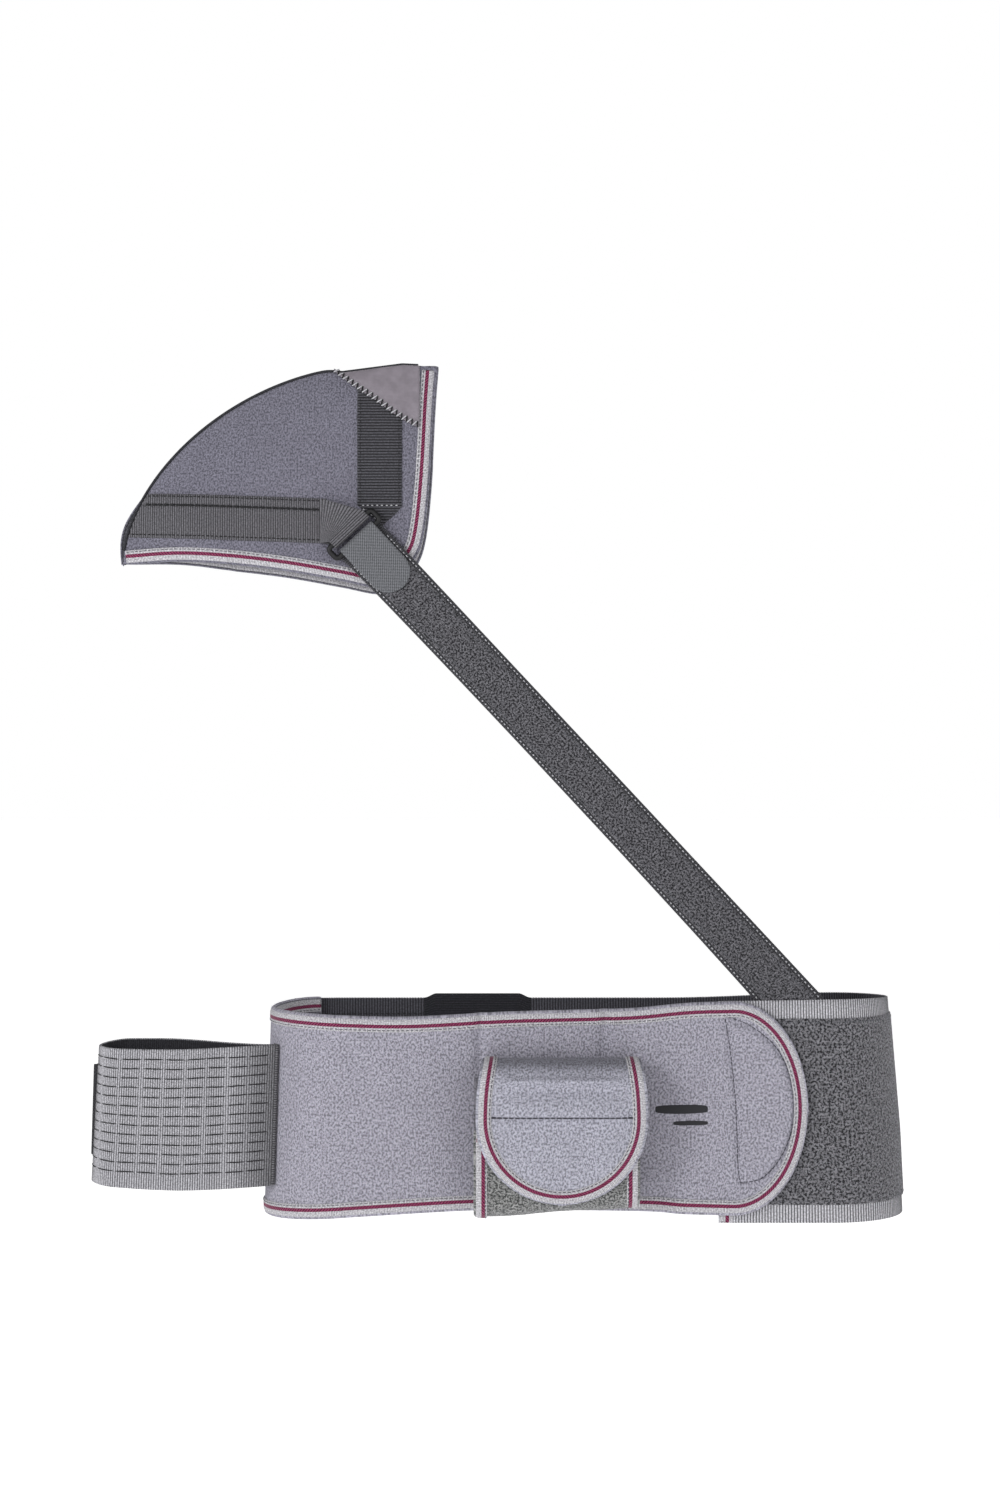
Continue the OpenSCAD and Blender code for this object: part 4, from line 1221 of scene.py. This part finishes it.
def cap_side(sign, nu=EDGE_N, nv=110, dx=0.0, dz=0.0, bulge=0.0):
    """Grid of (x, y, z) on a cap panel's outer face: sign -1 is the front panel and 1 the back one."""
    seam, edge = cap_curve(nu), open_edge(nu, dx, dz)
    if bulge:
        away = unit(seam - np.array([CAP_X, CAP_Z + 20]))
        seam = seam + away * (bulge * bump_at(np.linspace(0, 1, nu), 0.09, 0.08))[:, None]
    v = np.linspace(0, 1, nv)
    flat = seam[:, None] * (1 - v)[None, :, None] + edge[:, None] * v[None, :, None]
    d = lengths(edge)
    opening = (np.clip(d / 80, 0, 1) * np.clip((d[-1] - d) / 70, 0, 1)) ** 0.62
    across = np.linalg.norm(edge - seam, axis=1)[:, None] * v
    rise = 1 - (1 - np.clip(across / 62, 0, 1)) ** 2.2
    reach = (CAP_FRONT_Y if sign < 0 else CAP_BACK_Y) - SEAM_Y
    shoulder = 1.6 * sign
    y = SEAM_Y + shoulder * np.clip(across / 1.5, 0, 1)
    y = y + (reach - shoulder) * rise * np.maximum(opening[:, None], 0.12)
    y = y + sign * (0.7 * np.sin(d / 19)[:, None] * ease(v, 0.6, 1))
    return grid(flat[..., 0], y, flat[..., 1])


def grid_normals(grid, sign):
    n = unit(np.cross(np.gradient(grid, axis=0), np.gradient(grid, axis=1)))
    return n * np.sign(n[..., 1:2] * sign + 1e-9)


class FaceHeight:
    """Looks up how far forward the cap's front face lies at any (x, z), from a fine grid of it."""

    def __init__(self, grid):
        self.low = np.array([-350.0, 360.0])
        size = (260, 200)
        flat = grid.reshape(-1, 3)
        cell = np.clip((flat[:, [0, 2]] - self.low).round().astype(int), 0, np.array(size) - 1)
        total, count = np.zeros(size), np.zeros(size)
        np.add.at(total, (cell[:, 0], cell[:, 1]), flat[:, 1])
        np.add.at(count, (cell[:, 0], cell[:, 1]), 1)
        known = count > 0
        value = np.where(known, total / np.maximum(count, 1), 0)
        while not known.all():
            near_sum, near_n = np.zeros(size), np.zeros(size)
            for axis, step in ((0, 1), (0, -1), (1, 1), (1, -1)):
                near_sum += np.roll(value * known, step, axis)
                near_n += np.roll(known, step, axis)
            grow = ~known & (near_n > 0)
            value[grow] = near_sum[grow] / near_n[grow]
            known |= grow
        for _ in range(3):
            value = (value + sum(np.roll(value, s, a) for a in (0, 1) for s in (1, -1))) / 5
        self.value = value

    def __call__(self, x, z):
        x, z = np.broadcast_arrays(x, z)
        p = np.stack([x, z], -1) - self.low
        p = np.clip(p, 0, np.array(self.value.shape) - 1.001)
        i = p.astype(int)
        f = p - i
        v = self.value
        a, b = i[..., 0], i[..., 1]
        return ((v[a, b] * (1 - f[..., 0]) + v[a + 1, b] * f[..., 0]) * (1 - f[..., 1])
                + (v[a, b + 1] * (1 - f[..., 0]) + v[a + 1, b + 1] * f[..., 0]) * f[..., 1])


def cap_panel(side, sign, dx, dz, bulge):
    """The front or back panel with its edge tape. dx, dz and bulge let the back one show past the front."""
    outer = cap_side(sign, dx=dx, dz=dz, bulge=bulge)
    normal = grid_normals(outer, sign)
    thick = LAMINATE * (0.35 + 0.65 * ease(np.linalg.norm(outer - outer[:, :1], axis=-1), 0, 12))
    inner = outer - normal * thick[..., None]
    # The inner faces take the darker copy of the lining, with painted shade.
    panel = shell(f"cap_{side}_cloth", outer, inner, outer[..., [0, 2]], [CAP_BRUSHED, CAP_LINING_SHADED])
    dress(panel, "brushed_laminate", f"cap_{side}_panel", body="cap")
    keep = slice(2, EDGE_N - 2)
    facing = normal[keep, -2]
    edge = outer[keep, -1] - facing * LAMINATE / 2
    edge_tape(f"cap_{side}_tape", edge, facing, -sign, LAMINATE, f"cap_{side}_binding", body="cap")
    rows = tape_seam(edge, facing, -sign, TAPE_W - 1.3, LAMINATE)
    sew(f"cap_{side}_tape_stitches", rows, THREAD_GREY, FINE, body="cap")


def cap_piping():
    seam = cap_curve(260, 0.3)[9:]
    centre = grid(seam[:, 0], SEAM_Y, seam[:, 1])
    up = np.tile(FORWARD, (len(seam), 1))
    side = unit(np.cross(unit(np.gradient(centre, axis=0)), up))
    piping = sweep("cap_seam_piping", centre, side, up, round_section(1.15, 2.4), [PIPING])
    dress(piping, "cap_webbing", "cap_curved_seam", body="cap")


def cap_ribbon(name, face_y, x, z, place, thick, material, slot, node):
    """A tape lying on the cap's front face, as thick as given at each place."""
    y = face_y(x, z)
    ribbon = shell(name, grid(x, y - thick, z), grid(x, y + 0.15, z), place, [material])
    return dress(ribbon, slot, node, body="cap")


def surface_row(face_y, x, z, rise):
    """A row for stitches that lie `rise` in front of the cap's front face."""
    x, z = np.broadcast_arrays(x, z)
    return grid(x, face_y(x, z) - rise, z), np.tile(FORWARD, (len(x), 1))


def upright_webbing(face_y):
    left, right = -166, -134
    x = np.linspace(left, right, 24)
    foot = np.interp(x, [left, -148, -137, right], [441, 426, 436, 440])
    z = foot[:, None] + (538 - foot)[:, None] * np.linspace(0, 1, 230)
    x = np.broadcast_to(x[:, None], z.shape)
    relief = 0.14 * np.cos(z * math.tau / UPRIGHT_PITCH) * ease(np.minimum(x - left, right - x), 0, 1.5)
    cap_ribbon("cap_upright_tape", face_y, x, z, grid(z, x), WEB_T + relief, WEBBING_DARK, "cap_webbing",
               "cap_upright_webbing")
    heights = np.linspace(442, 520, 80)
    rows = [surface_row(face_y, x0, heights, WEB_T + 0.12) for x0 in (left + 1.8, right - 1.8)]
    sew("upright_side_stitches", rows, THREAD_BLACK, (2.2, 1.0, 0.28), "cap_webbing", body="cap")
    level = surface_row(face_y, np.linspace(-164, -136, 30), 440.5, WEB_T + 0.15)
    slant = surface_row(face_y, np.linspace(-163, -149, 20), np.linspace(438.5, 428, 20), WEB_T + 0.15)
    sew("upright_foot_stitches", [level, slant], THREAD_PALE, (1.6, 1.7, 0.45), "cap_webbing", body="cap")


WEB_X1 = -190.0
WEB_LOW, WEB_H = 413.0, 32.0
WEB_BAND = 7.5                     # height of the folded band along the webbing's top edge


def web_lift(x):
    """The side webbing climbs a little towards the curved edge."""
    return 5.5 * np.clip((WEB_X1 - x) / 150, 0, 1)


def side_webbing(face_y):
    curve = cap_curve(600)[:400]
    across = np.linspace(0, WEB_H, 40)
    start = np.interp(WEB_LOW + 5 + across, curve[:, 1], curve[:, 0]) + 1.5
    x = start[None] + (WEB_X1 - start)[None] * np.linspace(0, 1, 300)[:, None]
    z = WEB_LOW + across[None] + web_lift(x)
    band = 0.5 * np.sin(math.pi * np.clip((across[None] - WEB_H + WEB_BAND) / WEB_BAND, 0, 1))
    ribs = 0.12 * np.cos(x * math.tau / WEBBING_PITCH)
    relief = ribs + np.where(across[None] > WEB_H - WEB_BAND, band, 0)
    relief = relief - 1.0 * bump_at(across[None], WEB_H - WEB_BAND - 0.3, 1.0)
    relief = relief + 0.35 * bump_at(across[None], WEB_H / 2 - 4, 9)
    cap_ribbon("cap_side_tape", face_y, x, z, grid(x, z), WEB_T + relief, WEBBING, "cap_webbing",
               "cap_side_webbing")


def side_stitches(face_y):
    xs = np.linspace(-335, WEB_X1 - 1, 160)

    def row(x, height, rise):
        return surface_row(face_y, x, WEB_LOW + height + web_lift(x), WEB_T + rise)

    # Black edge stitches; the row near the bottom edge also paints the shadow line along that edge.
    rows = [row(xs, 1.8, 0.2), row(xs[14:], WEB_H - 1.4, 0.5)]
    sew("side_tape_stitches", rows, THREAD_BLACK, (2.4, 0.8, 0.42), "cap_webbing", body="cap")
    # A nearly unbroken row of thick black thread in the groove under the top band: painted shadow in the
    # groove.
    rows = [row(xs[12:], WEB_H - WEB_BAND - 0.3, -0.35)]
    sew("side_tape_groove_shadow", rows, THREAD_BLACK, (4.5, 0.2, 0.85), "cap_webbing", body="cap")
    stop = surface_row(face_y, WEB_X1 - 1.6, np.linspace(WEB_LOW + 2, WEB_LOW + WEB_H - 2, 30), WEB_T + 0.35)
    sew("side_tape_end_stitches", [stop], THREAD_PALE, (1.6, 1.9, 0.5), "cap_webbing", body="cap")


def ring_webbing(face_y):
    """From the stitch line out to the ring's far bar, round it and back under itself."""
    half = (WEB_H + 1) / 2
    r = BORE_R + WEB_T / 2
    v = np.linspace(-1, 1, 34)
    start_z = WEB_LOW + WEB_H / 2 + v * WEB_H / 2
    y0 = face_y(WEB_X1, start_z)
    backward = np.array([0, 1, 0])
    at_bar = RING_AT - DOWN_FLAT * BAR_GAP + ACROSS * (v * half)[:, None]

    def seam(rise):
        return grid(WEB_X1 - 3.5, y0 - rise, start_z + web_lift(WEB_X1 - 3.5))

    rows = []
    t = np.linspace(0, 1, 46)[:-1]
    for k in t:
        w = ease(k, 0, 1) * 0.35 + k * 0.65
        p = seam(WEB_T * 1.6) * (1 - w) + (at_bar - DOWN_FLAT * 3 - backward * r) * w
        p[:, 1] -= 0.9 * math.sin(math.pi * k)
        rows.append(p)
    for angle in arc(-90, 90, 22):
        rows.append(at_bar + (DOWN_FLAT * r * math.cos(angle) + backward * r * math.sin(angle)))
    for k in t[1:]:
        rows.append((at_bar + backward * r) * (1 - k) + (seam(WEB_T * 0.5) + np.array([2.0, 0, 0])) * k)
    mid = np.array(rows)
    normal = unit(np.cross(np.gradient(mid, axis=0), np.gradient(mid, axis=1)))
    if normal[5, 17, 1] > 0:
        normal = -normal
    run = lengths(mid[:, 17])
    rib = 0.12 * np.cos(run * math.tau / WEBBING_PITCH)[:, None, None]
    outer, inner = mid + normal * (WEB_T / 2 - 0.1 + rib), mid - normal * (WEB_T / 2 - 0.1)
    band = shell("cap_ring_tape", outer, inner, grid(run[:, None], v * half), [WEBBING])
    dress(band, "cap_webbing", "cap_ring_webbing", body="cap")


SLOPE = curve_through([(-184, 541.5), (-176, 535), (-165, 527), (-152, 518), (-140, 509), (-129, 502.5),
                       (-121.5, 499)], 80)


def corner_patch(face_y):
    roof = cap_curve(600)[300:]
    x, low = SLOPE[:, 0:1], SLOPE[:, 1:2]
    top = np.interp(x, roof[:, 0], roof[:, 1]) - 0.6
    z = low + (np.maximum(top, low + 1.2) - low) * np.linspace(0, 1, 50)
    x = np.broadcast_to(x, z.shape)
    puff = 0.7 * ease(np.minimum(z - low, top - z), 0, 12) + 0.5 * bump_at(x, -146, 7) * bump_at(z, 536, 14)
    patch = cap_ribbon("cap_corner_cloth", face_y, x, z, grid(x, z), WEB_T + 0.5 + puff, TRICOT,
                       "stretch_tricot", "cap_corner_patch")


def zigzag(face_y):
    """Zig-zag stitches over the corner patch's lower edge, pale and dark threads by turns."""
    along = unit(np.gradient(SLOPE, axis=0))
    over = grid(-along[:, 1], along[:, 0])
    count, last = 34, len(SLOPE) - 1
    knots = [at + over[int(k / count * last)] * (3.8 if k % 2 else -1.8)
             for k, at in enumerate(resample(SLOPE, count + 1))]
    rows = [surface_row(face_y, *np.linspace(a, b, 4).T, WEB_T + 0.95) for a, b in zip(knots, knots[1:])]
    for name, chosen, material in (("pale", rows[::2], THREAD_PALE), ("dark", rows[1::2], THREAD_BLACK)):
        sew(f"cap_zigzag_{name}", chosen, material, (5.2, 0.05, 0.55, 0.2, 0), "stretch_tricot", body="cap")


# ---- build ----

BELT = (front_panel, belt_binding, closure_hooks, back_elastic, elastic_stitches, loop_panel, grip_patch,
        arm_seam_backing, printed_bars)
WRIST_CUFF = (wrist_flap, wrist_flap_edge, wrist_hooks, wrist_wrap, wrist_wrap_edges, wrist_base)
ARM_CUFF = (arm_cuff, arm_seam_roll, arm_loop_square, arm_closing_tab)
STRAP = (strap, strap_tape, strap_stitches, strap_tab, ring)

for build in BELT + WRIST_CUFF + ARM_CUFF + STRAP:
    build()
cap_panel("front", -1, 0.0, 0.0, 0.0)
cap_panel("back", 1, 1.0, -3.5, 5.0)
cap_piping()
front_face = FaceHeight(cap_side(-1, 500, 260))
for build in (upright_webbing, side_webbing, side_stitches, ring_webbing, corner_patch, zigzag):
    build(front_face)


# ---- stage, light and camera ----

FLOOR_HALF, FLOOR_Z = 20000, -330


def floor():
    n = 24
    xs = np.linspace(-FLOOR_HALF, FLOOR_HALF, n)
    x, y = np.meshgrid(xs, xs, indexing="ij")
    verts = grid(x, y, FLOOR_Z).reshape(-1, 3)
    f = Finish("pale_floor", roughness=0.9, specular=0.1)
    f.colour(f.tones(f.noise(900, 3), WHITE, (0.3, 0.86), (0.7, 0.9)))
    f.set(f.shader, {"Emission Color": (1, 1, 1, 1), "Emission Strength": 0.7})
    ground = add_mesh("floor", verts, grid_quads(np.arange(n * n).reshape(n, n)), verts[:, :2], [f.material])


def area_light(name, place, aim, size, power):
    data = bpy.data.lights.new(name, "AREA")
    data.shape = "DISK"
    data.size, data.energy = size, power
    lamp = bpy.data.objects.new(name, data)
    bpy.context.scene.collection.objects.link(lamp)
    lamp.location = place
    lamp.rotation_mode = "QUATERNION"
    lamp.rotation_quaternion = (Vector(aim) - lamp.location).to_track_quat("-Z", "Y")


def sky_light():
    """White light from below and the sides, and a darker sky above."""
    world = bpy.data.worlds.new("studio")
    bpy.context.scene.world = world
    world.use_nodes = True
    nodes, links = world.node_tree.nodes, world.node_tree.links
    sky = nodes.new("ShaderNodeValToRGB")
    for stop, place, level in zip(sky.color_ramp.elements, (0.34, 0.62), (1, 0.15)):
        stop.position, stop.color = place, (level, level, level, 1)
    upward = nodes.new("ShaderNodeSeparateXYZ")
    links.new(nodes.new("ShaderNodeTexCoord").outputs["Generated"], upward.inputs[0])
    links.new(upward.outputs["Z"], sky.inputs["Fac"])
    links.new(sky.outputs["Color"], nodes["Background"].inputs["Color"])
    nodes["Background"].inputs["Strength"].default_value = 1.0


def studio():
    floor()
    sky_light()
    aim = (-0.06, 0, 0.2)
    area_light("key", (-1.9, -2.2, 1.0), aim, 0.8, 36)
    area_light("fill", (1.7, -2.4, 0.3), aim, 1.6, 11)
    area_light("back", (0.6, 2.4, 1.6), aim, 1.6, 12)
    camera = bpy.data.cameras.new("camera")
    camera.sensor_fit = "VERTICAL"
    camera.sensor_height, camera.lens = 36, 62
    view = bpy.data.objects.new("camera", camera)
    bpy.context.scene.collection.objects.link(view)
    view.location = (-0.0613, -1.92, 0.2603)
    view.rotation_euler = (math.radians(90), 0, 0)
    bpy.context.scene.camera = view
    bpy.context.scene.view_settings.view_transform = "Standard"


studio()
